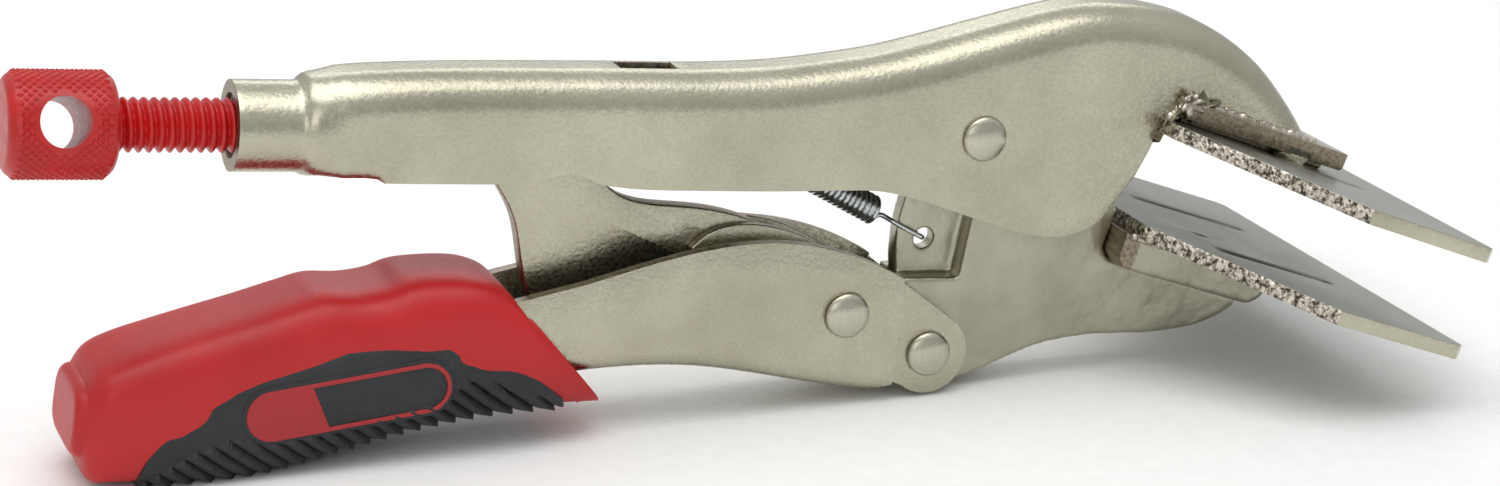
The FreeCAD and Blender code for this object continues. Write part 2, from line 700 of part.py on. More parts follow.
def grip_pieces():
    """Hard grip, soft insert wrapped round its underside, and two plaques."""
    depth = "sizes.gripWidth - 2 * sizes.insertDepth"
    shell = boolean("Cut", "grip_shell", grip_outer("grip_blank"), handle_block("grip_room"))
    kept = new_body("insert_core")
    core = outline((-15.0, -45.5), (-15.0, -20.0), (54.0, -20.0), (54.0, -38.2),
                   (40.0, -39.4), (26.4, -42.0), (8.6, -46.4))
    pad(kept, sketch(kept, "XZ_Plane", core), depth)
    sleeve = boolean("Cut", "insert_sleeve", insert_zone("insert_area", "60"), kept)
    insert = boolean("Common", "insert_blank", grip_outer("grip_blank_again"), sleeve)
    insert_free = boolean("Cut", "grip_insert_cut", insert, handle_block("insert_room"))
    insert_free.Label = "grip_insert"
    second = boolean("Cut", "insert_sleeve_again", insert_zone("insert_area_again", "60"), kept)
    grip = boolean("Cut", "handle_grip_cut", shell, second)
    grip.Label = "handle_grip"
    plaques = []
    for side_sign in (-1, 1):
        plaque = new_body(f"plaque_{side_sign + 1}")
        half = size("plaqueLength") / 2
        end = size("plaqueHeight") / 2
        shape = outline((-half + end, -end), (half - end, -end), ("arc", (half, 0),
                                                                  (half - end, end)),
                        (-half + end, end), ("arc", (-half, 0), (-half + end, -end)))
        pad(plaque, sketch(plaque, "XZ_Plane", shape), "sizes.plaqueThickness")
        outside = size("gripWidth") / 2 + size("plaqueThickness") / 2
        plaque.Placement = place(17.6, side_sign * outside, -38.6, V(0, 1, 0), -9.5)
        plaques.append(plaque)
    return grip, insert_free, joined("grip_plaques", plaques)


# ---------------------------------------------------------------- assembly
KNOB_TURN = -18.0

parts = [
    upper_handle(),
    threaded_bush(),
    blade("upper_blade", "upper"),
    upper_blade_strap(),
    weld_bead("upper_weld_beads", "upper", 17.5, 40.0, size("upperWidth") / 2, STRAP_TOP, 0.9),
    lower_jaw(),
    blade("lower_blade", "lower"),
    lower_blade_support(),
    weld_bead("lower_weld_beads", "lower", 22.0, 45.0, size("blockWidth") / 2,
              -size("bladeThickness") - 1.0, 1.0),
    lower_handle(),
    rivet("jaw_rivet", "jawPivot", size("upperWidth"), size("headGap")),
    rivet("handle_rivet", "handlePivot", size("lugWidth"), size("headGap")),
    rivet("link_rivet", "linkPivot", size("handleWidth"), 0.0),
    toggle_link(),
    link_cheeks(),
    link_spacers(),
    adjusting_screw(),
    adjusting_knob(),
    screw_tip(),
    return_spring(),
    *grip_pieces(),
]
doc.recompute()

# the stance: a plane touching the grip's heel and the lower handle's lug
heel_x, heel_z = -14.5, -46.6
span = math.hypot(HANDLE_PIVOT[0] - heel_x, HANDLE_PIVOT[1] - heel_z)
rise = math.asin((HANDLE_PIVOT[1] - heel_z) / span)
tilt = math.degrees(rise - math.asin((size("lugRadius") - size("heelRadius")) / span))
lean = FreeCAD.Placement(V(), FreeCAD.Rotation(V(0, 1, 0), tilt))
shapes = {}
for part in parts:
    if "Invalid" in part.State or "Error" in part.State:
        raise RuntimeError(f"{part.Label} failed: {part.State}")
    if part.Shape.isNull() or not part.Shape.isValid():
        raise RuntimeError(f"{part.Label} has no valid shape")
    shapes[part.Label] = part
for other in doc.Objects:
    if "Invalid" in other.State or "Error" in other.State:
        raise RuntimeError(f"{other.Label} failed: {other.State}")

whole_box = FreeCAD.BoundBox()
for part in parts:
    leaned = part.Shape.copy()
    leaned.Placement = lean.multiply(leaned.Placement)
    whole_box.add(leaned.optimalBoundingBox(False))
stand = FreeCAD.Placement(V(-whole_box.Center.x, -whole_box.Center.y, -whole_box.ZMin),
                          lean.Rotation)
for part in parts:
    part.Placement = stand.multiply(part.Placement)
doc.recompute()

for label, part in shapes.items():
    part.Shape.exportStep(f"parts/{label}.step")
    solids = len(part.Shape.Solids)
    print(f"{label:24s} {solids} solid(s) {part.Shape.Volume / 1000:8.3f} cm3")


def stood(x_pos, z_pos):
    point = stand.multVec(V(x_pos, 0, z_pos))
    return round(point.x, 3), round(point.z, 3)


print("tilt", round(tilt, 4), "size", whole_box.XLength, whole_box.YLength, whole_box.ZLength)
print("offset", stand.Base)
for pivot in ("jawPivot", "handlePivot", "linkPivot"):
    print(pivot, stood(size(f"{pivot}X"), size(f"{pivot}Z")))
print("screw axis", stood(0, 0), stood(100, 0), "knob hole", stood(size("knobHoleX"), 0))
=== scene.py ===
"""Locking pliers with wide sheet-metal blades: finished surfaces over the CAD frame.

Shapes are drawn in millimetres in the tool's own frame: X along the adjusting screw
towards the blades, Y across the tool, Z up from the screw's axis. TOOL_MM sets them
into the frame that the CAD model stands in, in metres.
"""
import json
import math

import bmesh
import bpy
from mathutils import Matrix, Vector, noise


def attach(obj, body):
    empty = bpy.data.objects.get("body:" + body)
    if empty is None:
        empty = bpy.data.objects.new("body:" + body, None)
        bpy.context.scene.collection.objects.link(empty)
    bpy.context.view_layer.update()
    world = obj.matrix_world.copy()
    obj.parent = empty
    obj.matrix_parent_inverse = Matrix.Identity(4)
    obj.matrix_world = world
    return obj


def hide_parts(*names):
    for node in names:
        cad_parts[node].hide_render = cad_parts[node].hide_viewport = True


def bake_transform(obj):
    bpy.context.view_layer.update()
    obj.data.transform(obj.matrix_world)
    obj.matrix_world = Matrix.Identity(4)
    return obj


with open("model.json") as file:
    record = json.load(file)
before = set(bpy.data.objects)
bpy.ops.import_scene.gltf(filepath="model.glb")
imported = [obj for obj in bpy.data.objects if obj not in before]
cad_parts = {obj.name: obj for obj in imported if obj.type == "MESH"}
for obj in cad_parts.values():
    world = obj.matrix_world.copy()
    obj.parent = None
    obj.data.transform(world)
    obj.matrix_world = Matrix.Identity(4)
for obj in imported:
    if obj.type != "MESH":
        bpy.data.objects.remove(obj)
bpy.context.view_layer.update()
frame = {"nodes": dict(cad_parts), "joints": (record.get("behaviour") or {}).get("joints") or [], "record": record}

MM = 0.001
JAW_PIVOT = (116.2, 0.5)
HANDLE_PIVOT = (111.1, -34.3)
LINK_PIVOT = (96.2, -27.5)
KNOB_CENTRE = -24.7
BLADES = {"upper": (189.9, -8.42, 16.2), "lower": (187.05, -23.98, 15.2)}
UPPER_WIDTH, HANDLE_WIDTH, LUG_WIDTH = 15.2, 16.4, 14.6


def tool_frame():
    """The tool's own frame in the row frame, from the screw's axis and the jaw pivot."""
    joints = {joint["name"]: joint for joint in frame["joints"]}
    along = Vector(joints["screw_travel"]["axis"]).normalized()
    across = Vector((0, 1, 0))
    turn = Matrix((along, across, along.cross(across))).transposed()
    pivot = Vector(joints["jaw_pivot"]["pos_m"])
    origin = pivot - turn @ Vector((JAW_PIVOT[0], 0, JAW_PIVOT[1])) * MM
    return Matrix.Translation(origin) @ turn.to_4x4()


TOOL = tool_frame()
TOOL_MM = TOOL @ Matrix.Scale(MM, 4)


def blade_frame(which):
    """Origin at the middle of a blade's top front edge, X forwards, Z square to it."""
    x, z, slope = BLADES[which]
    return Matrix.Translation((x, 0, z)) @ Matrix.Rotation(math.radians(slope), 4, "Y")


# ------------------------------------------------------------------ materials
def linear(hex_code):
    """An sRGB hex colour as linear RGBA."""
    channels = [int(hex_code[i:i + 2], 16) / 255 for i in (1, 3, 5)]
    return (*[c / 12.92 if c <= 0.04045 else ((c + 0.055) / 1.055) ** 2.4
              for c in channels], 1.0)


def add(tree, kind, inputs=None, **settings):
    """One node with its settings, its values and its links."""
    made = tree.nodes.new(kind)
    for name, value in settings.items():
        setattr(made, name, value)
    for key, value in (inputs or {}).items():
        if isinstance(value, bpy.types.NodeSocket):
            tree.links.new(value, made.inputs[key])
        else:
            made.inputs[key].default_value = value
    return made


def new_material(name):
    """An empty node material: its tree, its shader and the object's coordinates."""
    material = bpy.data.materials.new(name)
    material.use_nodes = True
    tree = material.node_tree
    tree.nodes.clear()
    shader = add(tree, "ShaderNodeBsdfPrincipled")
    add(tree, "ShaderNodeOutputMaterial", {"Surface": shader.outputs["BSDF"]})
    where = add(tree, "ShaderNodeTexCoord").outputs["Object"]
    return material, tree, shader, where


def grain(tree, where, size_mm, detail=2.0, roughness=0.5):
    """Noise whose lumps are about size_mm across."""
    inputs = {"Vector": where, "Scale": 0.6 / (size_mm * MM), "Detail": detail,
              "Roughness": roughness}
    return add(tree, "ShaderNodeTexNoise", inputs).outputs["Fac"]


def spread(tree, value, low, high, start=0.3, end=0.7):
    """A value stretched from start..end to low..high."""
    return add(tree, "ShaderNodeMapRange", {"Value": value, "From Min": start, "From Max": end,
                                            "To Min": low, "To Max": high}).outputs["Result"]


def blend_colours(tree, factor, first, second):
    return add(tree, "ShaderNodeMix", {0: factor, 6: linear(first), 7: linear(second)},
               data_type="RGBA").outputs[2]


def tones(tree, value, first, second, start=0.3, end=0.7):
    """Two colours mixed by a value that is stretched from start..end."""
    return blend_colours(tree, spread(tree, value, 0, 1, start, end), first, second)


def bump(tree, height, depth_mm, strength=1.0, normal=None):
    inputs = {"Height": height, "Distance": depth_mm * MM, "Strength": strength}
    if normal is not None:
        inputs["Normal"] = normal
    return add(tree, "ShaderNodeBump", inputs).outputs["Normal"]


def connect(tree, shader, **sockets):
    """Links or sets the shader's sockets; an underscore stands for a space."""
    for name, value in sockets.items():
        socket = shader.inputs[name.replace("_", " ")]
        if isinstance(value, bpy.types.NodeSocket):
            tree.links.new(value, socket)
        else:
            socket.default_value = value


def blasted_nickel():
    """Nickel plate over bead-blasted sheet: a warm pearl grey with fine sparkle. The
    blast grain of 0.1 mm is drawn wider so that it still shows."""
    material, tree, shader, where = new_material("blasted_nickel_plate")
    fine = grain(tree, where, 0.36, 2.0, 0.5)
    cloud = grain(tree, where, 9.0, 3.0)
    orange = grain(tree, where, 1.6, 1.0)
    waves = bump(tree, orange, 0.035, 0.5)
    connect(tree, shader, Base_Color=tones(tree, cloud, "#A9A693", "#BBB8A5"),
            Metallic=1.0, Roughness=spread(tree, fine, 0.20, 0.36),
            Normal=bump(tree, fine, 0.055, 1.0, waves))
    return material


def forged_nickel():
    """Nickel plate over a drop forging: the die's lumps stay under the plate."""
    material, tree, shader, where = new_material("forged_nickel_plate")
    fine = grain(tree, where, 0.5, 3.0, 0.6)
    lumps = grain(tree, where, 2.2, 2.0, 0.55)
    scale = grain(tree, where, 6.0, 2.0)
    hammered = bump(tree, lumps, 0.22, 0.8)
    connect(tree, shader, Base_Color=tones(tree, scale, "#A09D8C", "#B4B19F"),
            Metallic=1.0, Roughness=spread(tree, fine, 0.28, 0.42),
            Normal=bump(tree, fine, 0.055, 0.8, hammered))
    return material


def rolled_nickel():
    """Nickel plate over cold-rolled plate: smooth grey with faint rolling lines."""
    material, tree, shader, where = new_material("rolled_nickel_plate")
    stretched = add(tree, "ShaderNodeMapping", {"Vector": where, "Scale": (1.0, 0.12, 1.0)})
    lines = grain(tree, stretched.outputs["Vector"], 0.35, 2.0)
    cloud = grain(tree, where, 7.0, 3.0, 0.6)
    connect(tree, shader, Base_Color=tones(tree, cloud, "#8F9088", "#A2A39A"),
            Metallic=1.0, Roughness=spread(tree, cloud, 0.30, 0.40),
            Normal=bump(tree, lines, 0.010, 0.6))
    return material


def sheared_steel():
    """The torn edge of sheared plate under nickel: bright chips between dark pits."""
    material, tree, shader, where = new_material("sheared_plate_edge")
    chips = grain(tree, where, 0.55, 4.0, 0.7)
    cells = add(tree, "ShaderNodeTexVoronoi", {"Vector": where, "Scale": 1 / (0.7 * MM)})
    height = add(tree, "ShaderNodeMath", {0: chips, 1: cells.outputs["Distance"]},
                 operation="ADD").outputs["Value"]
    connect(tree, shader, Base_Color=tones(tree, chips, "#4A443C", "#D8D0C2", 0.42, 0.56),
            Metallic=1.0, Roughness=spread(tree, chips, 0.42, 0.22),
            Normal=bump(tree, height, 0.20, 0.9))
    return material


def blanked_edge():
    """The smooth cut edge of blanked sheet: a browner nickel, with faint press lines."""
    material, tree, shader, where = new_material("blanked_sheet_edge")
    pressed = add(tree, "ShaderNodeMapping", {"Vector": where, "Scale": (1.0, 0.2, 1.0)})
    lines = grain(tree, pressed.outputs["Vector"], 0.4, 3.0)
    connect(tree, shader, Base_Color=tones(tree, lines, "#6F6454", "#A39987"),
            Metallic=1.0, Roughness=spread(tree, lines, 0.30, 0.44),
            Normal=bump(tree, lines, 0.03, 0.8))
    return material


def weld_metal():
    """Nickel-plated weld: shiny, with the ripples of the cooled pool."""
    material, tree, shader, where = new_material("plated_weld")
    ripples = grain(tree, where, 0.8, 2.0)
    connect(tree, shader, Base_Color=tones(tree, ripples, "#8E8375", "#D9D4CB"),
            Metallic=1.0, Roughness=spread(tree, ripples, 0.18, 0.34),
            Normal=bump(tree, ripples, 0.10, 0.8))
    return material


def brushed_rivet():
    """Bright nickel rivet head, ground round and round: rings about its middle. The
    rings read the head's own map, which runs out from the middle in millimetres."""
    material, tree, shader, _ = new_material("ground_rivet_head")
    spot = add(tree, "ShaderNodeUVMap", uv_map="turned").outputs["UV"]
    stretched = add(tree, "ShaderNodeMapping", {"Vector": spot, "Scale": (0.6, 7.0, 1.0)})
    rings = add(tree, "ShaderNodeTexNoise", {"Vector": stretched.outputs["Vector"],
                                             "Scale": 1.0, "Detail": 3.0}).outputs["Fac"]
    connect(tree, shader, Base_Color=tones(tree, rings, "#AEAB9B", "#C6C3B3"),
            Metallic=1.0, Roughness=spread(tree, rings, 0.22, 0.36), Anisotropic=0.6,
            Normal=bump(tree, rings, 0.012, 0.7))
    return material


def spring_wire():
    """Drawn spring wire: cold blue-grey with fine lines from the drawing die."""
    material, tree, shader, where = new_material("drawn_spring_wire")
    lines = grain(tree, where, 0.25, 2.0)
    connect(tree, shader, Base_Color=tones(tree, lines, "#A9AEB0", "#D3D7D8"),
            Metallic=1.0, Roughness=spread(tree, lines, 0.16, 0.28),
            Normal=bump(tree, lines, 0.008, 0.6))
    return material


def turned_steel():
    """Plain turned steel, a little oily: dull grey with tool marks."""
    material, tree, shader, where = new_material("turned_steel")
    marks = grain(tree, where, 0.3, 3.0)
    connect(tree, shader, Base_Color=tones(tree, marks, "#5C5D5C", "#83837F"),
            Metallic=1.0, Roughness=spread(tree, marks, 0.34, 0.52),
            Normal=bump(tree, marks, 0.02, 0.6))
    return material


def powder_coat():
    """Thick red powder coat with a soft gloss: it rounds each crest and has orange peel."""
    material, tree, shader, where = new_material("red_powder_coat")
    peel = grain(tree, where, 0.9, 2.0)
    shade = grain(tree, where, 3.0, 2.0)
    connect(tree, shader, Base_Color=tones(tree, shade, "#A80604", "#BA0907"),
            Roughness=spread(tree, peel, 0.34, 0.46), IOR=1.5, Coat_Weight=0.1,
            Coat_Roughness=0.15, Normal=bump(tree, peel, 0.035, 0.7))
    return material


def moulded_red():
    """Satin injection-moulded red grip: a fine spark-eroded texture."""
    material, tree, shader, where = new_material("moulded_red_plastic")
    texture = grain(tree, where, 0.35, 3.0, 0.6)
    flow = grain(tree, where, 14.0, 2.0)
    connect(tree, shader, Base_Color=tones(tree, flow, "#A80A0F", "#BC1015"),
            Roughness=spread(tree, texture, 0.38, 0.48), IOR=1.5,
            Normal=bump(tree, texture, 0.010, 0.6))
    return material


def soft_rubber():
    """Matte black over-moulded rubber with a dusty bloom in its grain."""
    material, tree, shader, where = new_material("soft_black_rubber")
    texture = grain(tree, where, 0.4, 3.0, 0.65)
    bloom = grain(tree, where, 5.0, 3.0)
    connect(tree, shader, Base_Color=tones(tree, bloom, "#17191B", "#24272A"),
            Roughness=spread(tree, texture, 0.52, 0.68), IOR=1.52,
            Normal=bump(tree, texture, 0.020, 0.6))
    return material


def printed_red():
    """Matte red of the badge, a little darker and duller than the grip."""
    material, tree, shader, where = new_material("matte_red_badge")
    texture = grain(tree, where, 0.3, 3.0)
    connect(tree, shader, Base_Color=tones(tree, texture, "#9A1C22", "#A8242A"),
            Roughness=spread(tree, texture, 0.46, 0.60), IOR=1.5,
            Normal=bump(tree, texture, 0.010, 0.6))
    return material


def pale_floor():
    """Matte off-white paper sweep with the faintest tooth."""
    material, tree, shader, where = new_material("pale_paper")
    tooth = grain(tree, where, 2.0, 2.0)
    connect(tree, shader, Base_Color=tones(tree, tooth, "#F2F2F1", "#F6F6F5"),
            Roughness=0.8, Normal=bump(tree, tooth, 0.01, 0.2))
    return material


BLASTED = blasted_nickel()
FORGED = forged_nickel()
ROLLED = rolled_nickel()
SHEARED = sheared_steel()
BLANKED = blanked_edge()
WELD = weld_metal()
RIVET = brushed_rivet()
WIRE = spring_wire()
TURNED = turned_steel()
POWDER = powder_coat()
RED = moulded_red()
RUBBER = soft_rubber()
BADGE = printed_red()


# ------------------------------------------------------------------ mesh helpers
def link_piece(name, mesh, *materials):
    piece = bpy.data.objects.new(name, mesh)
    bpy.context.scene.collection.objects.link(piece)
    for material in materials:
        mesh.materials.append(material)
    return piece


def mesh_piece(name, vertices, faces, *materials, place=None):
    """A piece from points in millimetres, set into the row frame."""
    mesh = bpy.data.meshes.new(name)
    mesh.from_pydata([tuple(v) for v in vertices], [], faces)
    mesh.transform(TOOL_MM if place is None else place)
    mesh.update()
    return link_piece(name, mesh, *materials)


def finish(piece, sharp_angle=38):
    """Modifiers turned into mesh, and smooth shading broken at the sharp edges."""
    graph = bpy.context.evaluated_depsgraph_get()
    mesh = bpy.data.meshes.new_from_object(piece.evaluated_get(graph), depsgraph=graph)
    piece.modifiers.clear()
    piece.data = mesh
    mesh.name = piece.name
    mesh.polygons.foreach_set("use_smooth", [True] * len(mesh.polygons))
    mesh.set_sharp_from_angle(angle=math.radians(sharp_angle))
    return piece


def stand_in(piece, node, body):
    """The piece is seen in place of a CAD node and moves with a body."""
    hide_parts(node)
    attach(piece, body)


def ease_edges(piece, width_mm, segments=2, angle=32):
    bevel = piece.modifiers.new("eased", "BEVEL")
    bevel.width = width_mm * MM
    bevel.segments = segments
    bevel.limit_method = "ANGLE"
    bevel.angle_limit = math.radians(angle)
    bevel.use_clamp_overlap = True
    bevel.harden_normals = False
    return bevel


def dress(piece, *materials):
    """The piece's materials, in slot order and nothing else."""
    piece.data.materials.clear()
    for material in materials:
        piece.data.materials.append(material)


def melt(piece, voxel_mm, rounds):
    """One skin of small voxels over the whole piece, smoothed a few rounds."""
    skin = piece.modifiers.new("skin", "REMESH")
    skin.mode = "VOXEL"
    skin.voxel_size = voxel_mm * MM
    soft = piece.modifiers.new("soft", "SMOOTH")
    soft.factor = 0.5
    soft.iterations = rounds
    finish(piece, 180)


def outward(piece):
    """Recalculates the faces of a closed mesh so that they point out."""
    work = bmesh.new()
    work.from_mesh(piece.data)
    bmesh.ops.remove_doubles(work, verts=work.verts, dist=1e-7)
    bmesh.ops.recalc_face_normals(work, faces=work.faces)
    work.to_mesh(piece.data)
    work.free()
    return piece


def worked_copy(name, node, *materials):
    """A CAD node's shape as one welded mesh, its flat faces whole again."""
    mesh = frame["nodes"][node].data.copy()
    mesh.name = name
    mesh.materials.clear()
    work = bmesh.new()
    work.from_mesh(mesh)
    bmesh.ops.remove_doubles(work, verts=work.verts, dist=2e-6)
    bmesh.ops.dissolve_limit(work, angle_limit=math.radians(0.8), verts=work.verts,
                             edges=work.edges)
    work.to_mesh(mesh)
    work.free()
    for layer in list(mesh.uv_layers):
        mesh.uv_layers.remove(layer)
    return link_piece(name, mesh, *materials)


def paint_faces(piece, chosen, index=1):
    """Gives the faces for which chosen(centre, normal) holds another material slot;
    both are in the tool's own frame, the centre in millimetres."""
    back = TOOL_MM.inverted()
    turn = TOOL.to_3x3().inverted()
    for face in piece.data.polygons:
        if chosen(back @ face.center, turn @ face.normal):
            face.material_index = index


def grid_quads(rows, columns, wrap=False, start=0):
    """Quads of a grid of points stored row by row; wrap joins each row's ends."""
    quads = []
    for i in range(rows - 1):
        for j in range(columns if wrap else columns - 1):
            a = start + i * columns + j
            b = start + i * columns + (j + 1) % columns
            quads.append((a, b, b + columns, a + columns))
    return quads


def smooth_path(points, t):
    """A Catmull-Rom curve through points; t runs from 0 to len(points) - 1."""
    last = len(points) - 1
    i = min(int(t), last - 1)
    s = t - i
    a, b, c, d = (points[max(0, min(last, k))] for k in (i - 1, i, i + 1, i + 2))
    return tuple(0.5 * (2 * q + (r - p) * s + (2 * p - 5 * q + 4 * r - w) * s * s
                        + (3 * q - p - 3 * r + w) * s ** 3)
                 for p, q, r, w in zip(a, b, c, d))


def straight_path(points, t):
    i = min(int(t), len(points) - 2)
    return tuple(a + (b - a) * (t - i) for a, b in zip(points[i], points[i + 1]))


def ease(value):
    """Smooth step from 0 to 1."""
    value = max(0.0, min(1.0, value))
    return value * value * (3 - 2 * value)


def height_at(points, x):
    """Height of a polyline at x, or None beyond its ends."""
    for (x0, z0), (x1, z1) in zip(points, points[1:]):
        if x0 <= x <= x1:
            return z0 + (z1 - z0) * (x - x0) / (x1 - x0)
    return None


# ------------------------------------------------------------------ upper handle
SHEET = 1.9
# each station pairs a point of the crown with the lower edge of the wall below it
HANDLE_STATIONS = (
    ((21.5, 8.95), (21.5, -6.6)), ((30, 9.3), (30, -6.7)), ((42, 9.5), (42, -6.6)),
    ((50, 9.55), (50, -5.2)), ((55, 9.6), (55, -6.9)), ((62, 9.6), (62, -7.6)),
    ((72, 9.65), (72, -7.8)), ((83, 10.2), (83, -7.9)), ((92, 11.3), (91.5, -7.8)),
    ((100, 12.6), (99.5, -7.9)), ((107, 14.3), (106, -9.2)), ((113.5, 16.1), (112, -11.0)),
    ((119, 17.6), (118, -12.9)), ((124.5, 19.1), (124, -14.6)), ((130.1, 20.4), (129.5, -15.4)),
    ((135, 21.0), (133.5, -14.9)), ((139, 21.0), (137, -13.4)), ((143, 20.75), (140.2, -9.8)),
    ((147.5, 20.1), (143.0, -5.6)), ((151.4, 19.2), (144.9, -1.5)), ((154.5, 18.0), (145.8, 1.0)),
    ((157.5, 16.6), (146.7, 4.0)), ((160.0, 15.2), (148.6, 3.4)), ((162.4, 13.6), (149.8, 4.2)),
    ((164.8, 11.8), (150.7, 6.4)), ((167.4, 9.4), (156.5, 4.4)), ((170.2, 6.4), (162.5, 2.3)),
    ((172.8, 3.3), (168.3, 0.3)), ((175.6, -0.6), (173.6, -1.4)),
)
TUBE_RADIUS, TUBE_STRAIGHT, FLARE_END, SLOT_START = 6.7, 9.6, 15.5, 21.5
CROWN_ROUND = 5.5
WINDOW = (58.0, 67.2, 1.9)


def handle_section(top, low, along, closed, openness):
    """One section of the rolled sheet, from the seam below one side, over the crown,
    to the seam again. openness turns the round tube into the square channel."""
    normal = Vector((-along.y, along.x))
    half = UPPER_WIDTH / 2
    rim = half - CROWN_ROUND
    down = Vector(low)
    crown = Vector(top)
    shoulder = crown - normal * CROWN_ROUND
    side = []
    floor_steps, wall_steps, round_steps = 5, 12, 8
    for k in range(floor_steps):
        share = k / floor_steps
        angle = math.radians(-90 + 42 * share)
        square = (down.x, (half - 1.2) * share, down.y)
        side.append((square, angle))
    for k in range(wall_steps):
        share = k / wall_steps
        angle = math.radians(-48 + 78 * share)
        at = down.lerp(shoulder, share)
        tuck = 1.2 * (1 - min(1.0, share * 6)) ** 2 if closed else 0.0
        side.append(((at.x, half - tuck, at.y), angle))
    for k in range(round_steps + 1):
        share = k / round_steps
        angle = math.radians(30 + 46 * share)
        turn = math.radians(90 * share)
        at = shoulder + normal * (CROWN_ROUND * math.sin(turn))
        side.append(((at.x, rim + CROWN_ROUND * math.cos(turn), at.y), angle))
    for y, angle in ((WINDOW[2], 79), (1.0, 85), (0.0, 90)):
        side.append(((crown.x, y, crown.y), math.radians(angle)))
    points = []
    for (x, y, z), angle in side:
        radius = TUBE_RADIUS + 0.9 * min(1.0, openness * 3)
        round_point = Vector((crown.x, radius * math.cos(angle), radius * math.sin(angle)))
        points.append(round_point.lerp(Vector((x, y, z)), openness))
    mirrored = [Vector((p.x, -p.y, p.z)) for p in points]
    return mirrored[:-1] + points[::-1], floor_steps


def upper_handle():
    """The rolled sheet as one skin with its true thickness, its slot and its window."""
    stations = []
    tube_stops = [0, 1, 3, 5, 7, 8.6, 9.3, 9.7, 10.2, 10.8, 11.6, 12.5, 13.5, 14.5, 15.5, 17, 19]
    for x in tube_stops:
        share = max(0.0, (x - TUBE_STRAIGHT) / (FLARE_END - TUBE_STRAIGHT))
        top = 8.1 + 0.85 * ease((x - 10) / 12)
        stations.append(((x, top), (x, -6.1), True, min(1.0, share) ** 0.8))
    steps = 5
    spans = (len(HANDLE_STATIONS) - 1) * steps
    tops = [station[0] for station in HANDLE_STATIONS]
    lows = [station[1] for station in HANDLE_STATIONS]
    stations.append(((SLOT_START - 0.8, 8.9), (SLOT_START - 0.8, -6.3), True, 1.0))
    for k in range(spans + 1):
        at = k / steps
        low = smooth_path(lows, at) if at < 18 else straight_path(lows, at)
        stations.append((smooth_path(tops, at), low, False, 1.0))
    for edge in WINDOW[:2]:
        near = min(range(len(stations)), key=lambda k: abs(stations[k][0][0] - edge))
        (_, z), (_, low_z), closed, openness = stations[near]
        stations[near] = ((edge, z), (edge, low_z), closed, openness)
    vertices, count = [], 0
    for k, (top, low, closed, openness) in enumerate(stations):
        ahead = Vector(stations[min(k + 1, len(stations) - 1)][0])
        behind = Vector(stations[max(k - 1, 0)][0])
        row, floor_steps = handle_section(top, low, (ahead - behind).normalized(), closed,
                                          openness)
        count = len(row)
        vertices += row
    faces = []
    middle = count // 2
    for quad in grid_quads(len(stations), count, wrap=False):
        row, column = divmod(quad[0], count)
        over_floor = column < floor_steps or column >= count - 1 - floor_steps
        x = stations[row][0][0]
        in_window = WINDOW[0] - 0.01 <= x < WINDOW[1] - 0.01 and abs(column + 0.5 - middle) < 2
        if (over_floor and not stations[row][2]) or in_window:
            continue
        if over_floor and not stations[row + 1][2]:
            continue
        faces.append(quad[::-1])
    # a lug is lanced out of the window and bent down to hold the spring
    lug = [(67.1, 9.5), (66.9, 8.2), (67.4, 6.6), (68.0, 4.6), (68.6, 2.6)]
    start = len(vertices)
    for x, z in lug:
        for y in (-1.7, -0.6, 0.6, 1.7):
            vertices.append(Vector((x, y, z)))
    faces += grid_quads(len(lug), 4, start=start)
    piece = mesh_piece("upper_handle_shell", vertices, faces, BLASTED, BLANKED)
    work = bmesh.new()
    work.from_mesh(piece.data)
    bmesh.ops.delete(work, geom=[v for v in work.verts if not v.link_faces], context="VERTS")
    bmesh.ops.remove_doubles(work, verts=work.verts, dist=1e-5)
    work.to_mesh(piece.data)
    work.free()
    sheet = piece.modifiers.new("sheet", "SOLIDIFY")
    sheet.thickness = SHEET * MM
    sheet.offset = -1
    sheet.material_offset_rim = 1
    ease_edges(piece, 0.32, 3, 50)
    finish(piece)
    stand_in(piece, "upper_handle", "frame")


# ------------------------------------------------------------------ blades
def groove_depth(back, y, which):
    """How far the pressed grooves sink below the blade's face."""
    depth = 0.0
    for middle, start, end, deep, wide in ((15, 10, 34, 0.62, 1.15), (-15, 10, 34, 0.62, 1.15),
                                           (-5.5, 29, 34, 0.30, 0.8)):
        if middle == -5.5 and which == "upper":
            continue
        across = (y - middle) / wide
        ends = ease((back - start) / 1.6) * ease((end - back) / 4.0)
        # one flank is steep and the other runs out softly
        flank = math.exp(-across * across * (2.2 if across < 0 else 0.75))
        depth = max(depth, deep * flank * ends)
    return depth


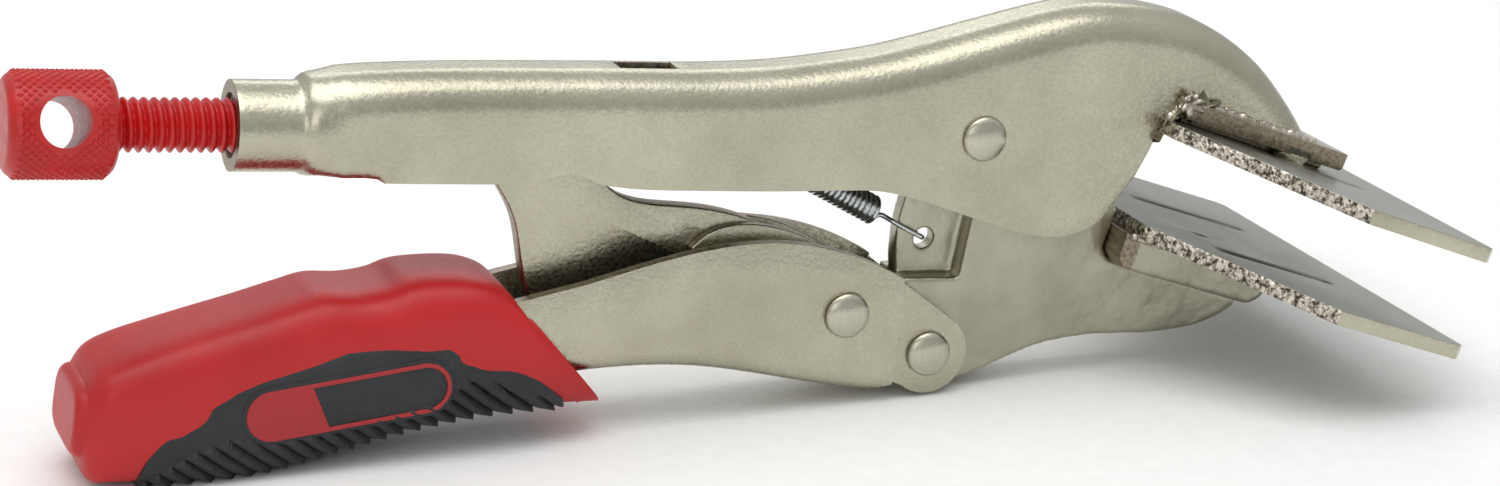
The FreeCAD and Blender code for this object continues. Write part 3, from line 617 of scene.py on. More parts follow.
def blade(which, body):
    """Tapered plate with soft pressed grooves; its tapered flanks are torn edges."""
    half, side, depth, rear, thick, corner = 40.0, 24.0, 45.0, 12.5, 2.3, 1.2
    stops = [0, 0.4, 0.8, 1.2] + [1.2 + (side - 1.2) * k / 40 for k in range(1, 41)]
    stops += [side + (depth - side) * k / 36 for k in range(1, 37)]
    columns = 201
    vertices, faces = [], []
    for layer in (0, 1):
        for back in stops:
            if back < corner:
                width = half - corner + back
            elif back <= side:
                width = half
            else:
                width = half - (half - rear) * (back - side) / (depth - side)
            for j in range(columns):
                y = width * (2 * j / (columns - 1) - 1)
                z = -thick if layer else -groove_depth(back, y, which)
                vertices.append((-back, y, z))
    rows = len(stops)
    total = rows * columns
    faces += grid_quads(rows, columns)
    faces += [quad[::-1] for quad in grid_quads(rows, columns, start=total)]
    rim = list(range(columns)) + [i * columns + columns - 1 for i in range(1, rows)]
    rim += [(rows - 1) * columns + j for j in range(columns - 2, -1, -1)]
    rim += [i * columns for i in range(rows - 2, 0, -1)]
    for a, b in zip(rim, rim[1:] + rim[:1]):
        faces.append((a, b, b + total, a + total))
    piece = mesh_piece(f"{which}_blade_plate", vertices, faces, ROLLED, SHEARED, BLASTED,
                       place=TOOL_MM @ blade_frame(which))
    outward(piece)
    to_blade = blade_frame(which).inverted()
    turn = to_blade.to_3x3()
    paint_faces(piece, lambda c, n: abs((turn @ n).z) < 0.4 and (to_blade @ c).x < -side, 1)
    paint_faces(piece, lambda c, n: abs((turn @ n).z) < 0.4 and (to_blade @ c).x >= -side, 2)
    ease_edges(piece, 0.28, 3, 50)
    finish(piece)
    stand_in(piece, f"{which}_blade", body)


def blade_strap():
    """The strap that carries the upper blade, with a wavy brown weld along its side."""
    piece = worked_copy("blade_strap", "upper_blade_strap", BLASTED, BLANKED)
    paint_faces(piece, lambda c, n: abs(n.y) > 0.6)
    ease_edges(piece, 0.35, 3)
    finish(piece)
    stand_in(piece, "upper_blade_strap", "frame")


def shape_tree(name, inputs):
    """An empty tree of geometry nodes with typed inputs, and the node that gives them."""
    kinds = {int: "NodeSocketInt", float: "NodeSocketFloat", tuple: "NodeSocketVector"}
    tree = bpy.data.node_groups.new(name, "GeometryNodeTree")
    for key, default in inputs.items():
        socket = tree.interface.new_socket(key, in_out="INPUT", socket_type=kinds[type(default)])
        socket.default_value = default
    tree.interface.new_socket("Geometry", in_out="OUTPUT", socket_type="NodeSocketGeometry")
    return tree, add(tree, "NodeGroupInput").outputs


def close_tree(tree, shape, material):
    """Ends a tree: real geometry with its material."""
    real = add(tree, "GeometryNodeRealizeInstances", {"Geometry": shape}).outputs[0]
    done = add(tree, "GeometryNodeSetMaterial",
               {"Geometry": real, "Material": material}).outputs[0]
    add(tree, "NodeGroupOutput", {"Geometry": done})
    return tree


def node_piece(name, tree, inputs, place):
    """Runs a tree of geometry nodes once and keeps its result as a plain mesh."""
    piece = link_piece(name, bpy.data.meshes.new(name))
    modifier = piece.modifiers.new("made", "NODES")
    modifier.node_group = tree
    named = {item.name: item.identifier for item in tree.interface.items_tree
             if item.item_type == "SOCKET" and item.in_out == "INPUT"}
    for key, value in inputs.items():
        modifier[named[key]] = value
    finish(piece)
    piece.data.transform(place)
    return piece


def math_node(tree, operation, first, second=None):
    inputs = {0: first} if second is None else {0: first, 1: second}
    return add(tree, "ShaderNodeMath", inputs, operation=operation).outputs[0]


def vector_node(tree, operation, first, second):
    return add(tree, "ShaderNodeVectorMath", {0: first, 1: second}, operation=operation)


def bead_tree():
    """A weld bead: overlapping drops of uneven size along a straight seam."""
    tree, given = shape_tree("weld_bead", {"Start": (0, 0, 0), "End": (0, 0, 0),
                                           "Spacing": MM, "Drop Radius": MM, "Seed": 7})
    seam = add(tree, "GeometryNodeCurvePrimitiveLine",
               {"Start": given["Start"], "End": given["End"]}).outputs[0]
    points = add(tree, "GeometryNodeCurveToPoints", {"Curve": seam, "Length": given["Spacing"]},
                 mode="LENGTH").outputs["Points"]
    wobble = add(tree, "FunctionNodeRandomValue", {"Seed": given["Seed"]},
                 data_type="FLOAT_VECTOR")
    stray = 0.22 * MM
    wobble.inputs[0].default_value = (-stray,) * 3
    wobble.inputs[1].default_value = (stray,) * 3
    points = add(tree, "GeometryNodeSetPosition",
                 {"Geometry": points, "Offset": wobble.outputs[0]}).outputs[0]
    drop = add(tree, "GeometryNodeMeshIcoSphere", {"Radius": given["Drop Radius"],
                                                   "Subdivisions": 3}).outputs[0]
    swell = add(tree, "FunctionNodeRandomValue", {"Seed": given["Seed"]}, data_type="FLOAT")
    smallest, largest = 0.75, 1.2
    swell.inputs[2].default_value = smallest
    swell.inputs[3].default_value = largest
    drops = add(tree, "GeometryNodeInstanceOnPoints",
                {"Points": points, "Instance": drop, "Scale": swell.outputs[1]}).outputs[0]
    return close_tree(tree, drops, WELD)


def weld_beads(name, node, which, body, seams, tree, spatter=()):
    """Weld beads along seams given in the blade's frame, fused into one skin."""
    made = []
    overlap = 0.85
    for number, (start, end, radius) in enumerate(seams):
        bead = node_piece(f"{name}_{number}", tree,
                          {"Start": [c * MM for c in start], "End": [c * MM for c in end],
                           "Spacing": radius * overlap * MM, "Drop Radius": radius * MM,
                           "Seed": 11 + number}, Matrix.Identity(4))
        made.append(bead)
    work = bmesh.new()
    for bead in made:
        work.from_mesh(bead.data)
        bpy.data.objects.remove(bead)
    # spatter: thin drops thrown out of the pool, long in one direction
    for (x, y, z), towards, length, radius in spatter:
        aim = Vector(towards).normalized()
        turn = aim.to_track_quat("Z", "Y").to_matrix().to_4x4()
        place = (Matrix.Translation((x * MM, y * MM, z * MM)) @ turn
                 @ Matrix.Translation((0, 0, length * 0.4 * MM))
                 @ Matrix.Diagonal((radius * MM, radius * MM, length * 0.6 * MM, 1)))
        bmesh.ops.create_icosphere(work, subdivisions=3, radius=1.0, matrix=place)
    mesh = bpy.data.meshes.new(name)
    work.to_mesh(mesh)
    work.free()
    mesh.transform(TOOL_MM @ blade_frame(which) @ Matrix.Scale(1 / MM, 4))
    piece = link_piece(name, mesh, WELD)
    melt(piece, 0.16, 3)
    dress(piece, WELD)
    stand_in(piece, node, body)


def upper_welds(tree):
    strap_top = 3.9
    side = UPPER_WIDTH / 2
    seams = []
    for sign in (-1, 1):
        seams.append(((-41.5, sign * (side + 0.1), strap_top), (-17.5, sign * (side + 0.1),
                                                                  strap_top), 0.62))
        seams.append(((-44.2, sign * (side + 0.3), 0.2), (-42.0, sign * (side + 0.3), 3.2), 0.9))
    corner = (-42.2, -side - 1.0, 3.6)
    spatter = [(corner, towards, length, radius) for towards, length, radius in (
        ((-0.5, -0.6, 1.0), 2.3, 0.55), ((0.2, -0.7, 1.0), 2.1, 0.5), ((1.0, -0.7, 0.5), 2.6, 0.6),
        ((1.0, -0.6, -0.3), 3.0, 0.6), ((-0.9, -0.6, 0.3), 2.0, 0.55),
        ((-0.6, -0.5, -0.8), 2.4, 0.6), ((0.2, -0.5, -1.0), 2.6, 0.7))]
    weld_beads("upper_weld_metal", "upper_weld_beads", "upper", "frame", seams, tree, spatter)


def lower_welds(tree):
    under = -2.3
    seams = []
    for sign in (-1, 1):
        seams.append(((-45.0, sign * 10.5, under - 0.2), (-20.5, sign * 10.5, under - 0.2), 0.62))
    weld_beads("lower_weld_metal", "lower_weld_beads", "lower", "jaw", seams, tree)


# ------------------------------------------------------------------ lower jaw
def forge(piece, voxel_mm, rounds, swell_mm):
    """Rounds a copy like a forging and gives it the die's low waves."""
    melt(piece, voxel_mm, rounds)
    vertices = piece.data.vertices
    moved = []
    for vertex in vertices:
        wave = noise.noise(vertex.co * 260) + 0.5 * noise.noise(vertex.co * 620)
        moved.extend(vertex.co + vertex.normal * (wave * swell_mm * MM))
    vertices.foreach_set("co", moved)
    piece.data.update()
    return piece


def lower_jaw():
    piece = worked_copy("jaw_forging", "lower_jaw")
    forge(piece, 0.36, 5, 0.10)
    dress(piece, FORGED)
    stand_in(piece, "lower_jaw", "jaw")


def blade_support():
    piece = worked_copy("blade_support_block", "lower_blade_support")
    forge(piece, 0.34, 6, 0.06)
    dress(piece, FORGED, BLANKED)
    to_blade = blade_frame("lower").inverted()
    paint_faces(piece, lambda c, n: (to_blade @ c).x < -43.5 and c.y < 0)
    stand_in(piece, "lower_blade_support", "jaw")


# ------------------------------------------------------------------ lower handle, link
def lower_handle():
    """Pressed channel; the cut upper edges of its walls show the browner metal."""
    piece = worked_copy("lower_handle_channel", "lower_handle", BLASTED, BLANKED)
    inner = HANDLE_WIDTH / 2 - 2.1
    paint_faces(piece, lambda c, n: n.z > 0.3 and abs(n.y) < 0.3 and abs(c.y) > inner
                and c.x < 106)
    ease_edges(piece, 0.30, 3)
    finish(piece)
    stand_in(piece, "lower_handle", "handle")


def blanked_piece(name, node, body, bevel):
    """A piece blanked from plate: blasted faces and browner cut edges."""
    piece = worked_copy(name, node, BLASTED, BLANKED)
    paint_faces(piece, lambda c, n: abs(n.y) < 0.3)
    ease_edges(piece, bevel, 3)
    finish(piece)
    stand_in(piece, node, body)


# ------------------------------------------------------------------ rivets
def rivet(name, node, pivot, width, body):
    """Shank with two domed heads, turned about the pivot; the map runs round it."""
    x, z = pivot
    head, crown, shank, segments = 3.55, 1.6, 3.0, 72
    face = width / 2
    dome = [(head * math.sin(a), face + 0.42 + (crown - 0.42) * math.cos(a) ** 1.15)
            for a in (math.radians(90 * k / 14) for k in range(15))]
    dome[0] = (0.02, dome[0][1])
    profile = dome + [(head - 0.02, face + 0.16), (head - 0.18, face + 0.02), (shank, face)]
    profile += [(shank, face * (1 - 2 * k / 6)) for k in range(1, 7)]
    profile += [(r, -y) for r, y in reversed(dome + [(head - 0.02, face + 0.16),
                                                     (head - 0.18, face + 0.02)])]
    vertices = [(x + r * math.cos(a), y, z + r * math.sin(a)) for r, y in profile
                for a in (2 * math.pi * k / segments for k in range(segments))]
    faces = grid_quads(len(profile), segments, wrap=True)
    faces.append(tuple(range(segments)))
    faces.append(tuple(range((len(profile) - 1) * segments, len(profile) * segments)))
    piece = mesh_piece(name, vertices, faces, RIVET)
    outward(piece)
    turned = piece.data.uv_layers.new(name="turned")
    back = TOOL_MM.inverted()
    for loop in piece.data.loops:
        at = back @ piece.data.vertices[loop.vertex_index].co
        angle = math.atan2(at.z - z, at.x - x)
        turned.data[loop.index].uv = (math.cos(angle * 2), math.hypot(at.x - x, at.z - z))
    finish(piece, 50)
    stand_in(piece, node, body)


# ------------------------------------------------------------------ screw and knob
def adjusting_screw():
    """Right-hand thread, its crests rounded by the powder coat. It runs out at both ends."""
    start, end, crest, root, pitch = -17.2, 31.0, 4.0, 3.28, 1.5
    around, per_turn, run_in, run_out = 48, 12, 1.2, 1.0
    rows = int((end - start) / pitch * per_turn) + 1
    vertices = []
    for i in range(rows):
        x = start + (end - start) * i / (rows - 1)
        fade = ease((x - start) / run_in) * ease((end - x) / run_out)
        for k in range(around):
            angle = 2 * math.pi * k / around
            phase = (x / pitch - k / around) % 1.0
            rise = (0.5 + 0.5 * math.cos(2 * math.pi * (phase - 0.5))) ** 0.75
            radius = root + (crest - root) * rise * fade
            vertices.append((x, radius * math.cos(angle), radius * math.sin(angle)))
    faces = grid_quads(rows, around, wrap=True)
    faces.append(tuple(range(around)))
    faces.append(tuple(range((rows - 1) * around, rows * around)))
    piece = mesh_piece("threaded_screw", vertices, faces, POWDER)
    outward(piece)
    finish(piece, 60)
    stand_in(piece, "adjusting_screw", "screw")


def knurl_tree():
    """Diamond knurl: blunt pyramids in staggered rows round a cylinder along X, left
    out where the cross hole passes."""
    tree, given = shape_tree("diamond_knurl", {
        "Around": 33, "Rows": 16, "Start": 0.0, "Row Step": MM, "Radius": 7 * MM,
        "Stud Radius": MM, "Stud Height": 0.5 * MM, "Hole Centre": (0, 0, 0),
        "Hole Axis": (0, 1, 0), "Hole Radius": 4 * MM})
    index = add(tree, "GeometryNodeInputIndex").outputs[0]
    row = math_node(tree, "FLOOR", math_node(tree, "DIVIDE", index, given["Around"]))
    column = math_node(tree, "MODULO", index, given["Around"])
    stagger = math_node(tree, "MULTIPLY", math_node(tree, "MODULO", row, 2.0), 0.5)
    turn = math_node(tree, "MULTIPLY",
                     math_node(tree, "DIVIDE", math_node(tree, "ADD", column, stagger),
                               given["Around"]), 2 * math.pi)
    along = math_node(tree, "ADD", given["Start"],
                      math_node(tree, "MULTIPLY", row, given["Row Step"]))
    y = math_node(tree, "MULTIPLY", given["Radius"],
                  math_node(tree, "MULTIPLY", math_node(tree, "SINE", turn), -1.0))
    z = math_node(tree, "MULTIPLY", given["Radius"], math_node(tree, "COSINE", turn))
    at = add(tree, "ShaderNodeCombineXYZ", {"X": along, "Y": y, "Z": z}).outputs[0]
    count = math_node(tree, "MULTIPLY", given["Around"], given["Rows"])
    points = add(tree, "GeometryNodePoints", {"Count": count, "Position": at}).outputs[0]
    here = add(tree, "GeometryNodeInputPosition").outputs[0]
    offset = vector_node(tree, "SUBTRACT", here, given["Hole Centre"]).outputs[0]
    crossed = vector_node(tree, "CROSS_PRODUCT", offset, given["Hole Axis"]).outputs[0]
    away = add(tree, "ShaderNodeVectorMath", {0: crossed}, operation="LENGTH").outputs["Value"]
    near = add(tree, "FunctionNodeCompare", {"A": away, "B": given["Hole Radius"]},
               data_type="FLOAT", operation="LESS_THAN").outputs[0]
    angle = math_node(tree, "ARCTAN2", math_node(tree, "MULTIPLY", add(
        tree, "ShaderNodeSeparateXYZ", {0: here}).outputs["Y"], -1.0),
        add(tree, "ShaderNodeSeparateXYZ", {0: here}).outputs["Z"])
    lean = add(tree, "ShaderNodeCombineXYZ", {"X": angle}).outputs[0]
    kept = add(tree, "GeometryNodeDeleteGeometry", {"Geometry": points, "Selection": near},
               domain="POINT").outputs[0]
    stud = add(tree, "GeometryNodeMeshCone",
               {"Vertices": 4, "Radius Top": 0.16 * MM, "Radius Bottom": given["Stud Radius"],
                "Depth": given["Stud Height"]}).outputs[0]
    studs = add(tree, "GeometryNodeInstanceOnPoints",
                {"Points": kept, "Instance": stud, "Rotation": lean}).outputs[0]
    return close_tree(tree, studs, POWDER)


def adjusting_knob():
    """Drilled knob: smooth end faces and rounded corners, diamond knurl between them."""
    mount = next(m for m in frame["record"]["mounts"] if m["name"] == "knob_bar_hole")
    axis = TOOL.to_3x3().inverted() @ Vector(mount["axis"])
    body = worked_copy("knob_blank", "adjusting_knob", POWDER)
    ease_edges(body, 0.45, 3, 40)
    finish(body)
    around, radius, length = 34, 7.42, 12.4
    step = math.pi * radius / around
    rows = int(length / step) + 1
    first = KNOB_CENTRE - (rows - 1) * step / 2
    studs = node_piece("knob_studs", knurl_tree(),
                       {"Around": around, "Rows": rows, "Start": first * MM,
                        "Row Step": step * MM, "Radius": radius * MM,
                        "Stud Radius": step * 1.0 * MM, "Stud Height": 0.46 * MM,
                        "Hole Centre": (KNOB_CENTRE * MM, 0, 0), "Hole Axis": tuple(axis),
                        "Hole Radius": 4.45 * MM}, TOOL)
    work = bmesh.new()
    work.from_mesh(studs.data)
    long_edges = [e for e in work.edges if e.calc_length() > 0.3 * MM]
    bmesh.ops.bevel(work, geom=long_edges, offset=0.05 * MM, segments=1, affect="EDGES")
    work.from_mesh(body.data)
    mesh = bpy.data.meshes.new("knurled_knob")
    work.to_mesh(mesh)
    work.free()
    for spare in (studs, body):
        bpy.data.objects.remove(spare)
    piece = link_piece("knurled_knob", mesh, POWDER)
    for face in mesh.polygons:
        face.material_index = 0
    finish(piece, 30)
    stand_in(piece, "adjusting_knob", "screw")


# ------------------------------------------------------------------ spring
SPRING_START, HOOK_HOLE = (69.0, 3.2), (110.9, -17.3)
REAR_WIRE, FRONT_WIRE, HOOK_LENGTH, COIL_RADIUS, WIRE_RADIUS = 3.0, 2.6, 7.0, 1.95, 0.4


def coil_tree():
    """A length of close-wound coil along Z, from a spiral and a round wire."""
    tree, given = shape_tree("spring_coil", {"Turns": 10.0, "Length": 10 * MM,
                                             "Coil Radius": 2 * MM, "Wire Radius": 0.4 * MM})
    spiral = add(tree, "GeometryNodeCurveSpiral",
                 {"Resolution": 28, "Rotations": given["Turns"],
                  "Start Radius": given["Coil Radius"], "End Radius": given["Coil Radius"],
                  "Height": given["Length"]}).outputs[0]
    section = add(tree, "GeometryNodeCurvePrimitiveCircle",
                  {"Resolution": 12, "Radius": given["Wire Radius"]}).outputs[0]
    wire = add(tree, "GeometryNodeCurveToMesh",
               {"Curve": spiral, "Profile Curve": section, "Fill Caps": True}).outputs[0]
    return close_tree(tree, wire, WIRE)


def bent_wire(name, points, radius):
    """A wire through points of the tool's frame, as a mesh in the row frame."""
    curve = bpy.data.curves.new(name, "CURVE")
    curve.dimensions = "3D"
    curve.bevel_depth = radius * MM
    curve.bevel_resolution = 4
    curve.use_fill_caps = True
    spline = curve.splines.new("NURBS")
    spline.points.add(len(points) - 1)
    for point, at in zip(spline.points, points):
        point.co = (*(TOOL_MM @ Vector(at)), 1.0)
    spline.use_endpoint_u = True
    spline.order_u = 3
    spline.resolution_u = 8
    holder = bpy.data.objects.new(name, curve)
    bpy.context.scene.collection.objects.link(holder)
    graph = bpy.context.evaluated_depsgraph_get()
    mesh = bpy.data.meshes.new_from_object(holder.evaluated_get(graph))
    bpy.data.objects.remove(holder)
    return mesh


def return_spring():
    """Close coils from the lanced lug to the hook in the jaw's tab."""
    start = Vector((SPRING_START[0], 0, SPRING_START[1]))
    hole = Vector((HOOK_HOLE[0], 0, HOOK_HOLE[1]))
    along = (hole - start).normalized()
    across = along.cross(Vector((0, 1, 0)))
    length = (hole - start).length - HOOK_LENGTH
    coil = length - REAR_WIRE - FRONT_WIRE
    half = coil / 2
    turns = round(half / 0.93)
    tree = coil_tree()
    turn = Matrix((Vector((0, -1, 0)).cross(along) * -1, Vector((0, -1, 0)), along)).transposed()
    meshes = []
    for number in (0, 1):
        begin = start + along * (REAR_WIRE + half * number)
        place = TOOL @ Matrix.Translation(begin * MM) @ turn.to_4x4()
        piece = node_piece(f"coil_{number}", tree,
                           {"Turns": float(turns), "Length": half * MM,
                            "Coil Radius": COIL_RADIUS * MM, "Wire Radius": WIRE_RADIUS * MM},
                           place)
        meshes.append(piece.data)
        bpy.data.objects.remove(piece)
    side = turn.col[0] * COIL_RADIUS
    aside = Vector((0, -2.1, 0))
    coil_start = start + along * REAR_WIRE
    coil_end = coil_start + along * coil
    rear = [coil_start + side, coil_start + side * 0.5 - along * 0.5,
            start + along * 1.6 - across * 0.3, start + along * 0.2 + across * 0.9,
            start - along * 0.9, start - along * 0.4 - across * 1.0, start + along * 0.9]
    hook_start = start + along * length
    front = [coil_end + side, coil_end + side * 0.4 + along * 0.7, coil_end + along * 1.6,
             hook_start + aside * 0.35, hook_start + along * 0.9 + aside * 0.95,
             hole - along * 2.6 + aside, hole - along * 0.8 + aside,
             hole - along * 0.15 + aside * 0.55, hole - along * 0.2 - aside * 0.3,
             hole - along * 1.0 - aside * 0.95, hole - along * 2.4 - aside * 1.0]
    meshes += [bent_wire("rear", rear, WIRE_RADIUS), bent_wire("front", front, WIRE_RADIUS)]
    work = bmesh.new()
    for mesh in meshes:
        work.from_mesh(mesh)
    mesh = bpy.data.meshes.new("coiled_return_spring")
    work.to_mesh(mesh)
    work.free()
    whole = link_piece("coiled_return_spring", mesh, WIRE)
    for face in mesh.polygons:
        face.material_index = 0
    outward(whole)
    finish(whole, 60)
    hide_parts("return_spring")
    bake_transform(whole)


# ------------------------------------------------------------------ grip
GRIP_HALF = 11.0
# how far the mouth's wall and its floor stand back from the rim
MOUTH_DISH, MOUTH_FLOOR = Vector((-2.2, 0, -2.0)), Vector((-2.5, 0, -2.3))
# each station pairs a point of the grip's back with one of its underside
GRIP_STATIONS = (
    ((-19.9, -37.0), (-20.7, -48.0)), ((-18.2, -34.6), (-19.4, -51.2)),
    ((-14.5, -32.6), (-16.0, -51.6)), ((-9.0, -30.7), (-11.5, -51.6)),
    ((-2.6, -28.7), (-6.0, -51.3)), ((4.0, -26.7), (-0.5, -50.9)), ((9.8, -24.8), (5.0, -50.1)),
    ((14.0, -23.6), (10.5, -48.9)), ((19.0, -23.6), (16.5, -47.2)), ((23.5, -22.9), (22.0, -45.6)),
    ((27.0, -21.6), (27.0, -44.3)), ((32.0, -21.1), (33.0, -43.0)), ((37.0, -21.3), (39.5, -41.9)),
    ((40.5, -22.4), (46.5, -41.3)), ((42.4, -24.0), (52.5, -41.1)), ((44.0, -26.4), (57.4, -41.0)),
)
INSERT_EDGE = ((-13.6, -51.9), (-11.6, -46.6), (-8.7, -42.2), (-5.1, -38.6), (-2.0, -36.8),
               (4.8, -34.2), (12.3, -31.9), (17.1, -30.4), (20.4, -30.1), (26.0, -29.7),
               (32.1, -29.1), (36.1, -29.8), (40.3, -31.9), (46.3, -35.6), (52.4, -40.6))
RIB_EDGE = ((-13.0, -51.0), (-9.1, -48.5), (-4.5, -45.4), (1.5, -43.4), (4.5, -44.4), (8.4, -43.9),
            (21.0, -40.9), (33.4, -37.7), (34.6, -35.4), (37.0, -34.8), (41.0, -36.3),
            (46.5, -38.2), (52.0, -40.4))


def grip_station(t):
    """Middle, half height and upward direction of the grip's section at t."""
    top = Vector(smooth_path([s[0] for s in GRIP_STATIONS], t))
    low = Vector(smooth_path([s[1] for s in GRIP_STATIONS], t))
    return (top + low) / 2, (top - low).length / 2, (top - low).normalized()


def grip_point(t, angle, proud=0.0):
    """A point of the grip's skin; angle 0 is the far side and 90 degrees the back."""
    middle, half, up = grip_station(t)
    last = len(GRIP_STATIONS) - 1
    heel = ease(t / 1.6)
    mouth = ease((last - t) / 1.2)
    width = GRIP_HALF * (0.80 + 0.20 * heel) * (0.965 + 0.035 * mouth)
    # finger dips pinch the grip's shoulders a little
    pinch = 0.35 * math.sin((t - 6.2) * 1.35) * ease((t - 5) / 2) * ease((14 - t) / 2)
    square = 0.5 if math.sin(angle) > 0 else 0.44
    cos, sin = math.cos(angle), math.sin(angle)
    out = math.copysign(abs(cos) ** square, cos) * (width + proud)
    rise = math.copysign(abs(sin) ** square, sin) * (half + proud)
    out += math.copysign(pinch, cos) * max(0.0, sin) * abs(cos)
    # the sides lean in towards the back
    out *= 1 - 0.05 * max(0.0, rise / half)
    at = middle + up * rise
    return Vector((at.x, out, at.y))


def closing_rings(t, direction, rings, radius, angles):
    """Rings that round off the grip's end at station t, towards direction."""
    middle, half, up = grip_station(t)
    out_way = Vector((up.y, -up.x)) * direction
    made = []
    for k in range(1, rings + 1):
        turn = math.radians(90 * k / rings)
        shrink = radius * (1 - math.cos(turn))
        push = radius * math.sin(turn)
        ring = []
        for angle in angles:
            point = grip_point(t, angle)
            centre = Vector((middle.x, 0, middle.y))
            inward = centre - point
            scale = Vector((shrink / half, shrink / GRIP_HALF, shrink / half))
            moved = point + Vector((inward.x * scale.x, inward.y * scale.y,
                                    inward.z * scale.z))
            ring.append(moved + Vector((out_way.x * push, 0, out_way.y * push)))
        made.append(ring)
    return made


def grip_shell():
    """Hard red grip: crowned back with finger swells, blunt heel, slanted mouth."""
    around = 120
    angles = [2 * math.pi * k / around for k in range(around)]
    last = len(GRIP_STATIONS) - 1
    steps = 8
    rows = list(reversed(closing_rings(0.0, -1, 7, 1.6, angles)))
    rows += [[grip_point(k / steps, a) for a in angles] for k in range(last * steps + 1)]
    rows += closing_rings(float(last), 1, 5, 0.4, angles)
    vertices = [point for row in rows for point in row]
    faces = grid_quads(len(rows), around, wrap=True)
    for row, flip in ((rows[0], False), (rows[-1], True)):
        start = 0 if not flip else (len(rows) - 1) * around
        middle = sum(row, Vector()) / around
        # the mouth is dished so that the steel comes out of a lip
        inner = [p.lerp(middle, 0.12) for p in row]
        if flip:
            inner = [p + MOUTH_DISH for p in inner]
            middle += MOUTH_FLOOR
        ring_start = len(vertices)
        vertices += inner
        vertices.append(middle)
        for k in range(around):
            n = (k + 1) % around
            faces.append((start + k, start + n, ring_start + n, ring_start + k))
            faces.append((ring_start + k, ring_start + n, len(vertices) - 1))
    piece = mesh_piece("red_grip_shell", vertices, faces, RED)
    outward(piece)
    finish(piece, 50)
    stand_in(piece, "handle_grip", "handle")


def edge_angle(t):
    """Angle on the grip's skin where the soft insert begins, measured up from the
    bottom of the section; nothing where the insert doesn't reach."""
    middle, half, up = grip_station(t)
    low, high = -half, half
    bottom = middle + up * low
    edge = height_at(INSERT_EDGE, bottom.x)
    if edge is None or bottom.y > edge:
        return None
    for _ in range(24):
        guess = (low + high) / 2
        at = middle + up * guess
        edge = height_at(INSERT_EDGE, at.x)
        if edge is not None and at.y < edge:
            low = guess
        else:
            high = guess
    return low / half


def rib_height(x, z):
    """Height of the insert's skin over the red shell: a plain band above, and below
    it slanted ribs with a step between each and the next."""
    edge = height_at(RIB_EDGE, x)
    if edge is None:
        return 0.35
    below = ease((edge - z) / 0.5)
    slant = x + (z + 44.0) / 0.65
    share = (slant / 3.45) % 1.0
    groove = ease((0.20 - min(share, 1 - share) * 2) / 0.20 + 0.35)
    step = 0.15 + 0.75 * share
    return 0.35 + below * (step * (1 - groove) - 0.25 * groove)


def grip_insert():
    """Soft insert wrapped under the grip, from one side's edge to the other's."""
    last = len(GRIP_STATIONS) - 1
    lanes = 121
    stops = []
    steps = 26
    for k in range(last * steps + 1):
        t = k / steps
        level = edge_angle(t)
        if level is not None:
            stops.append((t, level))
    vertices = []
    for t, level in stops:
        # the sine of the angle at the edge, from the section's own rule
        square = 0.5 if level > 0 else 0.44
        reach = math.asin(math.copysign(min(1.0, abs(level)) ** (1 / square), level))
        for j in range(lanes):
            share = 2 * j / (lanes - 1) - 1
            angle = -math.pi / 2 + share * (reach + math.pi / 2)
            skin = grip_point(t, angle)
            rim = ease((1 - abs(share)) * 16) * ease((t - stops[0][0]) * 5)
            rim *= ease((stops[-1][0] - t) * 5)
            rise = -0.5 + rim * (0.5 + rib_height(skin.x, skin.z))
            vertices.append(grip_point(t, angle, rise))
    faces = grid_quads(len(stops), lanes)
    piece = mesh_piece("ribbed_grip_insert", vertices, faces, RUBBER)
    for vertex in piece.data.vertices:
        # the ribs flatten where the heel stands on the ground
        vertex.co.z = max(vertex.co.z, 0.05 * MM)
    work = bmesh.new()
    work.from_mesh(piece.data)
    bmesh.ops.recalc_face_normals(work, faces=work.faces)
    down = TOOL.to_3x3() @ Vector((0, 0, -1))
    lowest = min(work.faces, key=lambda f: f.calc_center_median().z)
    if lowest.normal.dot(down) < 0:
        bmesh.ops.reverse_faces(work, faces=work.faces)
    work.to_mesh(piece.data)
    work.free()
    body = piece.modifiers.new("body", "SOLIDIFY")
    body.thickness = 0.9 * MM
    body.offset = -1
    finish(piece, 55)
    stand_in(piece, "grip_insert", "handle")


def pill(half_length, radius, count=20):
    """Outline of a bar with round ends."""
    points = []
    for k in range(count + 1):
        turn = math.radians(-90 + 180 * k / count)
        points.append((half_length - radius + radius * math.cos(turn), radius * math.sin(turn)))
    for k in range(count + 1):
        turn = math.radians(90 + 180 * k / count)
        points.append((-half_length + radius + radius * math.cos(turn), radius * math.sin(turn)))
    return points


